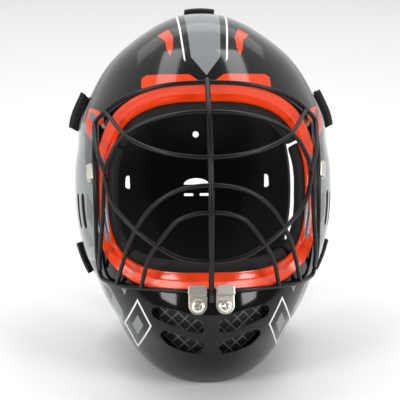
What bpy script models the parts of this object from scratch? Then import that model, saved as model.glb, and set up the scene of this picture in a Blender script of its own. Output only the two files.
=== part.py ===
"""Floorball goalie mask, at its real size in metres, with +Z up and the face towards -Y.

The mask is drawn upright in its own frame: x across the face, y from front to back, z from the chin
to the crown. Its skin is a star-shaped surface, a reach from one middle point for each azimuth and
elevation, and the shell, the pads, the back plate, the straps and the cage all follow that surface.
The last step seats the mask on its lower rim, where it leans back a little.
"""
import math

import bmesh
import bpy
from mathutils import Matrix, Vector

# Driving sizes of the mask
MM = 0.001
SHELL_WIDTH = 222 * MM
SHELL_DEPTH = 250 * MM
SHELL_HEIGHT = 320 * MM
WIDTH_SHARE = 1.3875
DEPTH_SHARE = 1.5625
HEIGHT_SHARE = 2.0
STRETCH = Vector((SHELL_WIDTH / WIDTH_SHARE, SHELL_DEPTH / DEPTH_SHARE, SHELL_HEIGHT / HEIGHT_SHARE))
MIDDLE = Vector((0, 0, SHELL_HEIGHT / 2))
ROUNDNESS = 2.2
GAP = 0.3 * MM

# Reach of the skin from its middle point, in units that the stretch makes into metres
SIDE_REACH = (
    # elevation, reach
    (-90, 1.000), (-78, 0.981), (-68.5, 0.931), (-59.5, 0.856), (-53, 0.800), (-45, 0.763),
    (-37.5, 0.731), (-26.6, 0.713), (-17, 0.700), (0, 0.694), (13.5, 0.711), (22, 0.728),
    (30.5, 0.773), (40.4, 0.806), (55, 0.872), (67, 0.916), (82, 0.978), (90, 0.990),
)
FRONT_REACH = (
    # elevation, reach
    (-90, 1.000), (-72.6, 1.048), (-64, 1.059), (-51, 1.044), (-38, 1.013), (-27.5, 0.881),
    (0, 0.800), (41.8, 0.863), (55.7, 0.906), (67.5, 0.947), (82, 0.979), (90, 0.990),
)
BACK_REACH = (
    # elevation, reach
    (-90, 1.000), (-70, 0.870), (-51, 0.805), (-40, 0.775), (-30, 0.756), (-9.5, 0.763),
    (9, 0.794), (34, 0.891), (51.6, 0.956), (68, 0.996), (90, 0.990),
)

# Shell wall, face opening and the recessed band round it
WALL = 3.0 * MM
OPENING_HALF_AZIMUTH = 48.0
OPENING_TOP = 36.3
OPENING_BOTTOM = -28.2
BAND_HALF_AZIMUTH = 50.0
BAND_TOP = 40.0
BAND_BOTTOM = -31.4
BAND_DEPTH = 8.0 * MM
TOP_CORNER = 2.7
BOTTOM_CORNER = 4.2
SHELL_COLUMNS = 64
SHELL_ROWS = (0.06, 0.14, 0.24, 0.35, 0.46, 0.58, 0.70, 0.82, 0.92, 1.0)
SHELL_REAR = (
    # turn round the opening, azimuth, elevation of the shell's rear edge
    (-90, 0, -81.6), (-78, 88, -76), (-66, 111, -62), (-58, 116, -50.6), (-45, 114.7, -39.3),
    (-30, 113.5, -25.5), (-10, 111.8, -7.2), (10, 112.7, 9.5), (30, 117.5, 28.8),
    (50, 127.2, 48.1), (70, 145, 64.1), (90, 180, 71.6),
)

# Holes in the shell
CHIN_VENT_UPPER = (
    # x, z of the corners
    (5, 58), (26, 67), (44, 71), (48, 67), (45, 61), (33.5, 56), (19, 50.5), (7, 48.5),
)
CHIN_VENT_LOWER = (
    # x, z of the corners
    (5.5, 39.5), (22.8, 46.5), (33, 50), (39, 51), (41, 46), (34, 38), (22, 32.8), (8, 30),
)
CHIN_VENT_FRONT = -160 * MM
CHIN_VENT_BACK = -70 * MM
EAR_SLOT_WIDTH = 8 * MM
EAR_SLOT_HEIGHT = 30 * MM
EAR_SLOT_PLACES = (-54.5 * MM, -38.5 * MM)
EAR_SLOT_LEVEL = 147 * MM

# Wire cage, drawn as rows of azimuth, elevation and lift off the skin in millimetres
WIRE_RADIUS = 1.8 * MM
UPRIGHT_RADIUS = 2.2 * MM
RIM_WIRE = (
    (0, 39.7, 3.4), (15.7, 38.9, 3.4), (26, 37.3, 3.4), (37, 34.4, 3.4), (45, 30.6, 3.4),
    (51.3, 26.8, 3.4), (50.3, 21.5, 3.4), (49.3, 16.5, 3.4), (47.8, 9, 3.4), (47.3, -2.3, 3.4),
    (48.3, -13.6, 3.4), (50.8, -22.5, 3.4), (52.6, -29, 3.4), (51, -31.6, 3.4), (37, -31.7, 3.4),
    (25.5, -31.1, 3.4), (13, -30.9, 3.4), (0, -30.9, 3.4),
)
INNER_LOOP = (
    (51, -28, 3.6), (46.5, -22, 6), (40, -7.2, 9.5), (37.6, 7.3, 12), (35.6, 12.2, 12.8),
    (31.4, 18.2, 13), (22.6, 22.9, 13.5), (10.3, 25.5, 13.7), (0, 26, 13.8),
)
TOP_SMILE = ((45, 30.4, 3.6), (27.8, 18.3, 14), (14.2, 12.7, 18.2), (0, 10.9, 19.6))
CORNER_BAR = ((51.1, 26.4, 3.6), (44, 16, 9), (37.2, 6.5, 12.4))
BOTTOM_SMILE = (
    (37.6, 6.2, 12.3), (33.8, -2.7, 13.6), (24.9, -11.2, 14.4), (17, -16.7, 13.6),
    (9.5, -20.3, 12.2), (0, -21.4, 11.7),
)
FIRST_ARC = (
    (39.5, -31.7, 3.6), (29.7, -18.4, 10.7), (24.4, -10.9, 14.6), (18.5, -4.1, 17.6),
    (10.6, 0.8, 19.5), (0, 2.4, 20.2),
)
SECOND_ARC = (
    (26.5, -31.1, 3.6), (21.7, -21.5, 10.4), (16.4, -14.7, 14.5), (10.5, -8.3, 17.7),
    (5.2, -6.3, 18.7), (0, -5.9, 18.9),
)
UPRIGHT = (
    (0, 40.6, 3.8), (0, 26, 13.8), (0, 10.9, 19.6), (0, 2.4, 20.2), (0, -5.9, 18.9),
    (0, -21.4, 11.7), (0, -30.9, 4.2), (0, -33.5, 3.6),
)

# Foam pads behind the opening's edge
PAD_THICKNESS = 13 * MM
PAD_REAR_DEPTH = 8.4 * MM
PAD_COLUMNS = 10
PAD_ROWS = 3
PAD_SHARE_IN = 0.07
PAD_SHARE_OUT = 0.164
PAD_RANGES = {
    # first and last turn round the opening, clearance to the band's wall in millimetres
    "brow_pad": (27, 153, 0.8),
    "cheek_pad_right": (-50, 25, 0.8),
    "cheek_pad_left": (155, 230, 0.8),
    "chin_pad": (232, 308, 1.6),
}

# Back plate, a cup behind the head
BACK_HALF_AZIMUTH = 46.0
BACK_TOP = 57.0
BACK_BOTTOM = -67.0
BACK_WALL = 2.6 * MM
BACK_COLUMNS = 14
BACK_ROWS = 14
BACK_SIDE_ROUNDING = 0.32
BACK_END_ROUNDING = 0.2
BACK_HOLES_FROM = 60 * MM
BACK_HOLES_TO = 150 * MM
DOME_HOLE_HALF_WIDTH = 12 * MM
DOME_HOLE_LEVEL = 170 * MM
DOME_HOLE_HEIGHT = 6 * MM
BACK_SLOT = (
    # x, z of the corners
    (3, 159), (12, 159), (12, 161.5), (3, 161.5),
)
BACK_SIDE_HOLE = (
    # x, z of the corners
    (63.5, 166), (68, 167.5), (67.5, 178), (64, 179.5),
)
ROUND_HOLE_RADIUS = 3 * MM
ROUND_HOLE_LEVEL = 218 * MM

# Straps between the shell and the back plate
STRAP_THICKNESS = 2.0 * MM
STRAP_CLEAR = 0.9 * MM
STRAP_FOLD = 7.5 * MM
STRAP_FOLD_SHARE = 0.16
STRAP_STEPS = (0, 0.08, 0.16, 0.17, 0.27, 0.37, 0.47, 0.57, 0.67, 0.78, 0.89, 1)
SIDE_STRAP_LEVELS = {"upper": (27.5, 41.0), "lower": (-34.0, -20.5)}
SIDE_STRAP_FROM = 92.0
SIDE_STRAP_TO = 153.0
TOP_STRAP_HALF_WIDTH = 5.4
TOP_STRAP_FROM = 94.0
TOP_STRAP_TO = 134.0

# Metal clips and screws
CLIP_METAL = 1.5 * MM
CHIN_CLIP_WIDTH = 14.6 * MM
CHIN_CLIP_LENGTH = 20 * MM
CHIN_CLIP_AZIMUTH = 4.8
CHIN_CLIP_ELEVATION = -31.1
CLIP_CLEAR = 0.7 * MM
SIDE_CLIP_WIDTH = 13 * MM
SIDE_CLIP_LENGTH = 13 * MM
SIDE_CLIP_AZIMUTH = 48.0
SIDE_CLIP_ELEVATION = 9.0
SCREW_RADIUS = 5.6 * MM
SCREW_HEIGHT = 2.4 * MM

# Mesh behind the chin vents
MESH_PITCH = 8.4 * MM
MESH_BAR = 1.5 * MM
MESH_THICKNESS = 1.0 * MM
MESH_DEPTH = WALL + 4.4 * MM
MESH_FROM = (2 * MM, 26 * MM)
MESH_TO = (52 * MM, 76 * MM)

# Seat: the plane of the lower rim, through a point under the chin
SEAT_TILT = math.radians(17)
SEAT_POINT = Vector((0, -62 * MM, 2 * MM))
SEAT_BACK_SHIFT = -37.9 * MM


# Curves and the skin
def along(rows, x, column=1):
    """Smooth value of a table's column at x, where its first column rises."""
    last = len(rows) - 1
    x = min(max(x, rows[0][0]), rows[last][0])
    k = max(i for i in range(last) if rows[i][0] <= x)

    def slope(i):
        a, b = max(i - 1, 0), min(i + 1, last)
        return (rows[b][column] - rows[a][column]) / (rows[b][0] - rows[a][0])

    step = rows[k + 1][0] - rows[k][0]
    t = (x - rows[k][0]) / step
    start, end = rows[k][column], rows[k + 1][column]
    return (
        (2 * t**3 - 3 * t**2 + 1) * start + (t**3 - 2 * t**2 + t) * step * slope(k)
        + (3 * t**2 - 2 * t**3) * end + (t**3 - t**2) * step * slope(k + 1)
    )


def heading(azimuth, elevation):
    """Unit vector of an azimuth from the face, and an elevation, in degrees."""
    a, e = math.radians(azimuth), math.radians(elevation)
    return Vector((math.sin(a) * math.cos(e), -math.cos(a) * math.cos(e), math.sin(e)))


def reach(way):
    """How far the skin lies from the middle point along a unit vector."""
    drawn = Vector([part / size for part, size in zip(way, STRETCH)])
    length = drawn.length
    drawn = drawn / length
    elevation = math.degrees(math.asin(max(-1.0, min(1.0, drawn.z))))
    flat = max(math.hypot(drawn.x, drawn.y), 1e-9)
    side = along(SIDE_REACH, elevation)
    ends = along(FRONT_REACH if drawn.y <= 0 else BACK_REACH, elevation)
    across, onward = abs(drawn.x) / flat, abs(drawn.y) / flat
    power = 2 + (ROUNDNESS - 2) * (1 - drawn.z**2)
    return ((onward / ends) ** power + (across / side) ** power) ** (-1 / power) / length


def on_skin(way, lift=0.0):
    """Point on the skin along a unit vector, lifted off it by some metres."""
    return MIDDLE + way * (reach(way) + lift)


def turned(first, last, share):
    """Unit vector between two others, on the arc from one to the other."""
    return first.slerp(last, share)


def round_opening(turn, half_azimuth, top, bottom):
    """Heading on a rounded rectangle of azimuth and elevation, at a turn in degrees."""
    t = math.radians(turn)
    c, s = math.cos(t), math.sin(t)
    power = 2 / (TOP_CORNER if s > 0 else BOTTOM_CORNER)
    azimuth = math.copysign(half_azimuth * abs(c) ** power, c)
    elevation = (top + bottom) / 2 + math.copysign((top - bottom) / 2 * abs(s) ** power, s)
    return heading(azimuth, elevation)


def opening_way(turn):
    return round_opening(turn, OPENING_HALF_AZIMUTH, OPENING_TOP, OPENING_BOTTOM)


def band_way(turn):
    return round_opening(turn, BAND_HALF_AZIMUTH, BAND_TOP, BAND_BOTTOM)


def rear_way(turn):
    """Heading of the shell's rear edge at a turn round the opening."""
    turn = (turn + 180) % 360 - 180
    mirrored = abs(turn) > 90
    if mirrored:
        turn = math.copysign(180 - abs(turn), turn)
    way = heading(along(SHELL_REAR, turn, 1), along(SHELL_REAR, turn, 2))
    if mirrored:
        way.x = -way.x
    return way


def smooth_path(points, count):
    """Evenly spaced points on a smooth curve through the given ones."""
    rows = [(0.0, *points[0])]
    for before, point in zip(points, points[1:]):
        rows.append((rows[-1][0] + (point - before).length, *point))
    places = [rows[-1][0] * i / count for i in range(count + 1)]
    return [Vector([along(rows, x, c) for c in (1, 2, 3)]) for x in places]


# Materials and objects
def material(name, colour, roughness, metallic=0.0):
    """Principled material, made once under its name."""
    made = bpy.data.materials.get(name)
    if made:
        return made
    made = bpy.data.materials.new(name)
    made.use_nodes = True
    shader = made.node_tree.nodes["Principled BSDF"]
    shader.inputs["Base Color"].default_value = (*colour, 1)
    shader.inputs["Roughness"].default_value = roughness
    shader.inputs["Metallic"].default_value = metallic
    return made


def gloss_black():
    return material("gloss_black_plastic", (0.012, 0.012, 0.014), 0.15)


def black_plastic():
    return material("black_plastic", (0.015, 0.015, 0.016), 0.45)


def black_foam():
    return material("black_foam", (0.018, 0.018, 0.019), 0.9)


def black_steel():
    return material("black_coated_steel", (0.014, 0.014, 0.015), 0.35, 0.5)


def bright_steel():
    return material("bright_steel", (0.72, 0.70, 0.66), 0.18, 1.0)


def webbing():
    return material("black_webbing", (0.014, 0.014, 0.015), 0.85)


def add_object(name, mesh, finish, sharp=35):
    """Object of a mesh, with its material and smooth shading up to an angle."""
    part = bpy.data.objects.new(name, mesh)
    bpy.context.scene.collection.objects.link(part)
    mesh.materials.clear()
    mesh.materials.append(finish)
    mesh.shade_smooth()
    mesh.set_sharp_from_angle(angle=math.radians(sharp))
    return part


def mesh_from(name, points, faces):
    """Closed mesh of points and faces, with its normals turned outwards."""
    bm = bmesh.new()
    corners = [bm.verts.new(p) for p in points]
    for face in faces:
        bm.faces.new([corners[i] for i in face])
    bmesh.ops.recalc_face_normals(bm, faces=bm.faces)
    mesh = bpy.data.meshes.new(name)
    bm.to_mesh(mesh)
    bm.free()
    return mesh


def combine(part, others, operation):
    """Cut or join other objects with a part, and remove them."""
    for other in others:
        boolean = part.modifiers.new("combine", "BOOLEAN")
        boolean.solver = "EXACT"
        boolean.operation = operation
        boolean.object = other
    bpy.context.view_layer.update()
    result = bpy.data.meshes.new_from_object(
        part.evaluated_get(bpy.context.evaluated_depsgraph_get()))
    part.modifiers.clear()
    part.data = result
    for other in others:
        bpy.data.objects.remove(other)
    result.shade_smooth()
    result.set_sharp_from_angle(angle=math.radians(35))
    return part


def prism(name, outline, low, high):
    """Object of an outline of (x, z) points, extruded along y from low to high."""
    count = len(outline)
    points = [Vector((x, y, z)) for y in (low, high) for x, z in outline]
    faces = [tuple(range(count)), tuple(range(count, 2 * count))]
    faces += [(i, (i + 1) % count, count + (i + 1) % count, count + i) for i in range(count)]
    return add_object(name, mesh_from(name, points, faces), black_plastic())


def slab(name, place, outer, inner, columns, rows, finish):
    """Closed piece between two lifts off the skin, over a patch of headings."""
    us = [i / columns for i in range(columns + 1)]
    vs = [j / rows for j in range(rows + 1)]
    points = [on_skin(place(u, v), lift(u, v)) for lift in (outer, inner) for v in vs for u in us]
    wide = columns + 1
    layer = wide * (rows + 1)
    faces = []
    for j in range(rows):
        for i in range(columns):
            a = j * wide + i
            quad = (a, a + 1, a + 1 + wide, a + wide)
            faces.append(quad)
            faces.append(tuple(layer + k for k in reversed(quad)))
    rim = [i for i in range(wide)]
    rim += [j * wide + columns for j in range(1, rows + 1)]
    rim += [rows * wide + i for i in range(columns - 1, -1, -1)]
    rim += [j * wide for j in range(rows - 1, 0, -1)]
    for k, a in enumerate(rim):
        b = rim[(k + 1) % len(rim)]
        faces.append((a, a + layer, b + layer, b))
    return add_object(name, mesh_from(name, points, faces), finish)


def tube(name, path, radius, sides=6, closed=False):
    """Round wire along a path."""
    count = len(path)
    points = []
    side = None
    for i, p in enumerate(path):
        before = path[i - 1] if (i > 0 or closed) else path[i]
        after = path[(i + 1) % count] if (i + 1 < count or closed) else path[i]
        onward = (after - before).normalized()
        outward = (p - MIDDLE) if side is None else side
        side = (outward - onward * outward.dot(onward)).normalized()
        across = onward.cross(side)
        for k in range(sides):
            t = math.tau * (k + 0.5) / sides
            points.append(p + (side * math.cos(t) + across * math.sin(t)) * radius)
    faces = []
    for i in range(count if closed else count - 1):
        j = (i + 1) % count
        for k in range(sides):
            m = (k + 1) % sides
            faces.append((i * sides + k, i * sides + m, j * sides + m, j * sides + k))
    if not closed:
        faces.append(tuple(range(sides)))
        faces.append(tuple((count - 1) * sides + k for k in range(sides)))
    return add_object(name, mesh_from(name, points, faces), black_steel())


# Front shell
def shell_rows(turn):
    """Outer points of the shell from the opening's edge to the rear edge."""
    edge, band, rear = opening_way(turn), band_way(turn), rear_way(turn)
    rows = [on_skin(edge, -BAND_DEPTH), on_skin(turned(edge, band, 0.7), -BAND_DEPTH * 0.95)]
    rows.append(on_skin(band))
    rows += [on_skin(turned(band, rear, share)) for share in SHELL_ROWS]
    return rows


def chin_vent(outline, side):
    """Outline of a chin vent on one side, in metres."""
    return [(side * x * MM, z * MM) for x, z in outline]


def ear_slots():
    """Cutters of the slots over the ears, which go through both sides."""
    cutters = []
    for i, y in enumerate(EAR_SLOT_PLACES):
        bpy.ops.mesh.primitive_cube_add(size=1)
        cutter = bpy.context.object
        cutter.name = f"ear_slot_{i}"
        size = Vector((SHELL_WIDTH * 1.4, EAR_SLOT_WIDTH, EAR_SLOT_HEIGHT))
        place = Vector((0, y, EAR_SLOT_LEVEL))
        cutter.data.transform(Matrix.LocRotScale(place, None, size))
        cutters.append(cutter)
    return cutters


def front_shell():
    """Shell from the chin over the face opening's edge to the crown, with its vents."""
    turns = [360 * i / SHELL_COLUMNS for i in range(SHELL_COLUMNS)]
    grid = [shell_rows(turn) for turn in turns]
    count = len(grid[0])
    bm = bmesh.new()
    corners = [[bm.verts.new(p) for p in column] for column in grid]
    for i in range(SHELL_COLUMNS):
        here, there = corners[i], corners[(i + 1) % SHELL_COLUMNS]
        for j in range(count - 1):
            bm.faces.new((here[j], here[j + 1], there[j + 1], there[j]))
    mesh = bpy.data.meshes.new("front_shell")
    bm.to_mesh(mesh)
    bm.free()
    shell = add_object("front_shell", mesh, gloss_black())
    wall = shell.modifiers.new("wall", "SOLIDIFY")
    wall.thickness = WALL
    wall.offset = -1
    wall.use_even_offset = True
    cutters = ear_slots()
    for side in (-1, 1):
        for i, outline in enumerate((CHIN_VENT_UPPER, CHIN_VENT_LOWER)):
            cutters.append(prism(f"vent_{side}_{i}", chin_vent(outline, side),
                                 CHIN_VENT_FRONT, CHIN_VENT_BACK))
    return combine(shell, cutters, "DIFFERENCE")


# Cage
def wire_points(rows, count, mirrored=True):
    """Path of a wire, from one side to the other where it is mirrored."""
    half = [on_skin(heading(a, e), lift * MM) for a, e, lift in rows]
    if not mirrored:
        return smooth_path(half, count)
    other = [Vector((-p.x, p.y, p.z)) for p in reversed(half)]
    return smooth_path(half + other[1:], count)


def rim_points():
    """Closed path of the cage's rim, down one side and up the other."""
    half = [on_skin(heading(a, e), lift * MM) for a, e, lift in RIM_WIRE]
    right = smooth_path(half, 24)
    left = [Vector((-p.x, p.y, p.z)) for p in reversed(right)]
    return right + left[1:-1]


def cage():
    """Welded wire cage, one solid."""
    frame = tube("cage", rim_points(), WIRE_RADIUS, closed=True)
    wires = [
        tube("inner_loop", wire_points(INNER_LOOP, 32), WIRE_RADIUS),
        tube("top_smile", wire_points(TOP_SMILE, 16), WIRE_RADIUS),
        tube("bottom_smile", wire_points(BOTTOM_SMILE, 20), WIRE_RADIUS),
        tube("first_arc", wire_points(FIRST_ARC, 24), WIRE_RADIUS),
        tube("second_arc", wire_points(SECOND_ARC, 20), WIRE_RADIUS),
        tube("upright", wire_points(UPRIGHT, 16, mirrored=False), UPRIGHT_RADIUS),
    ]
    for side in (-1, 1):
        bar = [(side * a, e, lift) for a, e, lift in CORNER_BAR]
        wires.append(tube(f"corner_bar_{side}", wire_points(bar, 6, mirrored=False), WIRE_RADIUS))
    return combine(frame, wires, "UNION")


# Pads
def pad_place(first, last):
    """Headings of a pad, from inside the opening's edge to behind the shell."""
    def place(u, v):
        turn = first + (last - first) * u
        edge, rear = opening_way(turn), rear_way(turn)
        middle = heading(0, (OPENING_TOP + OPENING_BOTTOM) / 2)
        inside = turned(edge, middle, PAD_SHARE_IN)
        outside = turned(edge, rear, PAD_SHARE_OUT)
        return turned(inside, outside, v)
    return place


def pads():
    """Foam pads behind the opening's edge."""
    for name, (first, last, clear) in PAD_RANGES.items():
        def front(u, v, clear=clear * MM):
            return -(BAND_DEPTH + WALL + clear) * (1 - v**3) - PAD_REAR_DEPTH * v**3

        def back(u, v, front=front):
            return front(u, v) - PAD_THICKNESS * (0.55 + 0.45 * math.sin(math.pi * v))

        slab(name, pad_place(first, last), front, back, PAD_COLUMNS, PAD_ROWS, black_foam())


# Back plate
def back_place(u, v):
    """Heading on the back plate's rounded outline."""
    x, z = 2 * u - 1, 2 * v - 1
    azimuth = 180 + BACK_HALF_AZIMUTH * x * math.sqrt(1 - BACK_SIDE_ROUNDING * z * z)
    middle, half = (BACK_TOP + BACK_BOTTOM) / 2, (BACK_TOP - BACK_BOTTOM) / 2
    return heading(azimuth, middle + half * z * math.sqrt(1 - BACK_END_ROUNDING * x * x))


def back_plate():
    """Hard cup behind the head, with its holes."""
    plate = slab("back_plate", back_place, lambda u, v: 0.0, lambda u, v: -BACK_WALL,
                 BACK_COLUMNS, BACK_ROWS, black_plastic())
    low, high = BACK_HOLES_FROM, BACK_HOLES_TO
    dome = [(DOME_HOLE_HALF_WIDTH * math.cos(t), DOME_HOLE_LEVEL + DOME_HOLE_HEIGHT * math.sin(t))
            for t in [math.pi * i / 8 for i in range(9)]]
    cutters = [prism("dome_hole", dome, low, high)]
    for side in (-1, 1):
        for name, outline in (("slot", BACK_SLOT), ("side_hole", BACK_SIDE_HOLE)):
            hole = [(side * x * MM, z * MM) for x, z in outline]
            cutters.append(prism(f"{name}_{side}", hole, low, high))
    ring = [(ROUND_HOLE_RADIUS * math.cos(t), ROUND_HOLE_LEVEL + ROUND_HOLE_RADIUS * math.sin(t))
            for t in [math.tau * i / 10 for i in range(10)]]
    cutters.append(prism("round_hole", ring, low, high))
    return combine(plate, cutters, "DIFFERENCE")


# Straps
def straps():
    """Elastic webbing from the shell's sides and crown to the back plate."""
    lift = GAP + STRAP_CLEAR

    def outer(u, v):
        fold = STRAP_FOLD if STRAP_STEPS[round(u * len(STRAP_STEPS[1:]))] <= STRAP_FOLD_SHARE else 0.0
        return lift + STRAP_THICKNESS + fold

    def inner(u, v):
        return lift

    for level, (low, high) in SIDE_STRAP_LEVELS.items():
        for side, word in ((1, "right"), (-1, "left")):
            def place(u, v, side=side, low=low, high=high):
                share = STRAP_STEPS[round(u * len(STRAP_STEPS[1:]))]
                azimuth = SIDE_STRAP_FROM + (SIDE_STRAP_TO - SIDE_STRAP_FROM) * share
                return heading(side * azimuth, low + (high - low) * v)
            slab(f"strap_{level}_{word}", place, outer, inner, len(STRAP_STEPS) - 1, 2, webbing())

    def top_place(u, v):
        t = math.radians(TOP_STRAP_FROM + (TOP_STRAP_TO - TOP_STRAP_FROM) * u)
        across = math.radians(TOP_STRAP_HALF_WIDTH * (2 * v - 1))
        return Vector((math.sin(across), -math.cos(t) * math.cos(across), math.sin(t) * math.cos(across)))
    slab("strap_top", top_place, lambda u, v: inner(u, v) + STRAP_THICKNESS, inner, 12, 2, webbing())


# Clips and screws
def clip_profile(length, wire_radius):
    """Side outline of a clip: a flat plate whose top end goes over a wire, as (out, up) points."""
    hook = wire_radius + GAP + CLIP_METAL
    rise = 2 * wire_radius + 4 * GAP + CLIP_METAL
    outline = [(0, -length), (CLIP_METAL, -length), (CLIP_METAL, -hook - CLIP_METAL)]
    outline += [(rise, -hook - CLIP_METAL), (rise, hook * 0.7)]
    outline += [(rise - CLIP_METAL, hook * 0.7), (rise - CLIP_METAL, -hook), (0, -hook)]
    return outline


def clip(name, origin, out, up, width, length, finish):
    """Bent plate of one width, seated on the skin, its hook over the wire at the origin."""
    across = out.cross(up).normalized()
    outline = clip_profile(length, WIRE_RADIUS)
    count = len(outline)
    points = [origin + out * a + up * b + across * s * width / 2 for s in (-1, 1) for a, b in outline]
    faces = [tuple(range(count)), tuple(range(count, 2 * count))]
    faces += [(i, (i + 1) % count, count + (i + 1) % count, count + i) for i in range(count)]
    return add_object(name, mesh_from(name, points, faces), finish, sharp=30)


def screw(name, place, out):
    """Domed screw head on a plate."""
    rings = ((SCREW_RADIUS, 0.0), (SCREW_RADIUS, 0.35), (SCREW_RADIUS * 0.72, 0.85))
    turn = out.to_track_quat("Z", "Y").to_matrix()
    points = []
    for radius, share in rings:
        for i in range(16):
            t = math.tau * i / 16
            local = Vector((radius * math.cos(t), radius * math.sin(t), share * SCREW_HEIGHT))
            points.append(place + turn @ local)
    points.append(place + out * SCREW_HEIGHT)
    faces = [tuple(range(16))]
    for ring in range(2):
        for i in range(16):
            a, b = ring * 16 + i, ring * 16 + (i + 1) % 16
            faces.append((a, b, b + 16, a + 16))
    faces += [(32 + i, 32 + (i + 1) % 16, 48) for i in range(16)]
    return add_object(name, mesh_from(name, points, faces), bright_steel())


def seat_frame(way, up_hint):
    """Point on the skin, with the way out of it and the way up along it."""
    step = 0.02
    side = way.cross(up_hint).normalized()
    up = side.cross(way).normalized()
    here = on_skin(way)
    rise = on_skin((way + up * step).normalized()) - on_skin((way - up * step).normalized())
    cross = on_skin((way + side * step).normalized()) - on_skin((way - side * step).normalized())
    out = cross.cross(rise).normalized()
    if out.dot(way) < 0:
        out = -out
    return here, out, rise.normalized()


def clips():
    """Two clips at the chin and one on each side, each with its screw."""
    for side, word in ((1, "right"), (-1, "left")):
        way = heading(side * CHIN_CLIP_AZIMUTH, CHIN_CLIP_ELEVATION)
        here, out, up = seat_frame(way, Vector((0, 0, 1)))
        base = here + out * CLIP_CLEAR
        clip(f"chin_clip_{word}", base, out, up, CHIN_CLIP_WIDTH, CHIN_CLIP_LENGTH, bright_steel())
        head = base + out * (CLIP_METAL + GAP) - up * (CHIN_CLIP_LENGTH * 0.66)
        screw(f"chin_screw_{word}", head, out)
        way = heading(side * SIDE_CLIP_AZIMUTH, SIDE_CLIP_ELEVATION)
        here, out, up = seat_frame(way, Vector((-side, 0, 0)))
        base = here + out * CLIP_CLEAR
        clip(f"side_clip_{word}", base, out, up, SIDE_CLIP_WIDTH, SIDE_CLIP_LENGTH, bright_steel())


# Mesh behind the chin vents
def behind_chin(x, z, depth):
    """Point with this x and z that lies at a depth inside the skin."""
    near, far = -SHELL_WIDTH, 0.0
    for _ in range(24):
        y = (near + far) / 2
        spot = Vector((x, y, z)) - MIDDLE
        if spot.length > reach(spot.normalized()) - depth:
            near = y
        else:
            far = y
    return Vector((x, y, z))


def mesh_cells(half):
    """Places of the diamond cells behind the vents, in half diagonals from the first corner."""
    wide = int((MESH_TO[0] - MESH_FROM[0]) / half) - 1
    high = int((MESH_TO[1] - MESH_FROM[1]) / half) - 1
    return [(i, j) for i in range(1, wide + 1) for j in range(1, high + 1) if (i + j) % 2 == 0]


def vent_mesh(name, side):
    """Lattice of crossed bars that follows the inside of the chin behind its vents."""
    half = MESH_PITCH / math.sqrt(2)
    hole = half - MESH_BAR / math.sqrt(2)
    around = ((1, 0), (0, 1), (-1, 0), (0, -1))
    points, places, faces, edges = [], {}, [], {}

    def corner(x, z, layer):
        key = (round(x, 7), round(z, 7), layer)
        if key not in places:
            places[key] = len(points)
            depth = MESH_DEPTH + layer * MESH_THICKNESS
            points.append(behind_chin(side * (MESH_FROM[0] + x), MESH_FROM[1] + z, depth))
        return places[key]

    for i, j in mesh_cells(half):
        rings = [[corner(i * half + a * size, j * half + b * size, layer) for a, b in around]
                 for layer in (0, 1) for size in (half, hole)]
        for k in range(4):
            m = (k + 1) % 4
            for outer, inner in (rings[0:2], rings[2:4]):
                faces.append((outer[k], outer[m], inner[m], inner[k]))
            faces.append((rings[1][k], rings[1][m], rings[3][m], rings[3][k]))
            edge = frozenset((rings[0][k], rings[0][m]))
            wall = (rings[0][k], rings[0][m], rings[2][m], rings[2][k])
            edges[edge] = None if edge in edges else wall
    faces += [wall for wall in edges.values() if wall]
    return add_object(name, mesh_from(name, points, faces), black_plastic())


def seat_matrix():
    """Matrix from the mask's own frame to the one where its lower rim rests at z = 0."""
    turn = Matrix.Rotation(-SEAT_TILT, 4, "X")
    drop = (turn @ SEAT_POINT).z
    return Matrix.Translation(Vector((0, SEAT_BACK_SHIFT, -drop))) @ turn


def trim_below(part):
    """Cut a piece flat at z = 0, as its lower rim is."""
    bpy.ops.mesh.primitive_cube_add(size=1)
    cutter = bpy.context.object
    size = Vector((0.6, 0.8, 0.2))
    cutter.data.transform(Matrix.LocRotScale(Vector((0, 0, -0.1)), None, size))
    return combine(part, [cutter], "DIFFERENCE")


def main():
    for old in list(bpy.data.objects):
        bpy.data.objects.remove(old)
    shell = front_shell()
    plate = back_plate()
    cage()
    pads()
    straps()
    clips()
    vent_mesh("vent_mesh_right", 1)
    vent_mesh("vent_mesh_left", -1)
    seat = seat_matrix()
    for part in bpy.context.scene.objects:
        part.data.transform(seat)
    trim_below(shell)
    trim_below(plate)


main()
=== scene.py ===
"""Look of a floorball goalie mask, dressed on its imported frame.

Every place is worked out in the mask's own upright frame: x across the face, y from front to back
and z from the chin to the crown, in metres. SEAT then leans it back onto its lower rim, as it stands.
"""
import math

import bmesh
import bpy
from bpy.props import FloatProperty, FloatVectorProperty, IntProperty, PointerProperty
from mathutils import Matrix, Vector


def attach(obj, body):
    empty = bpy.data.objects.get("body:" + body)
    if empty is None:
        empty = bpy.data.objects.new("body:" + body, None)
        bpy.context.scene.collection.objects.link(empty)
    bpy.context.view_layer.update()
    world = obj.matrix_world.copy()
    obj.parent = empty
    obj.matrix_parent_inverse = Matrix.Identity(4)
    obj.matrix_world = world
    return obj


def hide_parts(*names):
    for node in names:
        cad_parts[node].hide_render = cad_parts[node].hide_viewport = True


bl_info = {
    "name": "Floorball Goalie Mask",
    "version": (1, 0, 0),
    "blender": (4, 5, 0),
    "location": "View3D > Sidebar > Mask",
    "description": "Dresses the packed goalie mask with its paint, cage, foam, mesh, straps and studio",
    "category": "Object",
}

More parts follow.
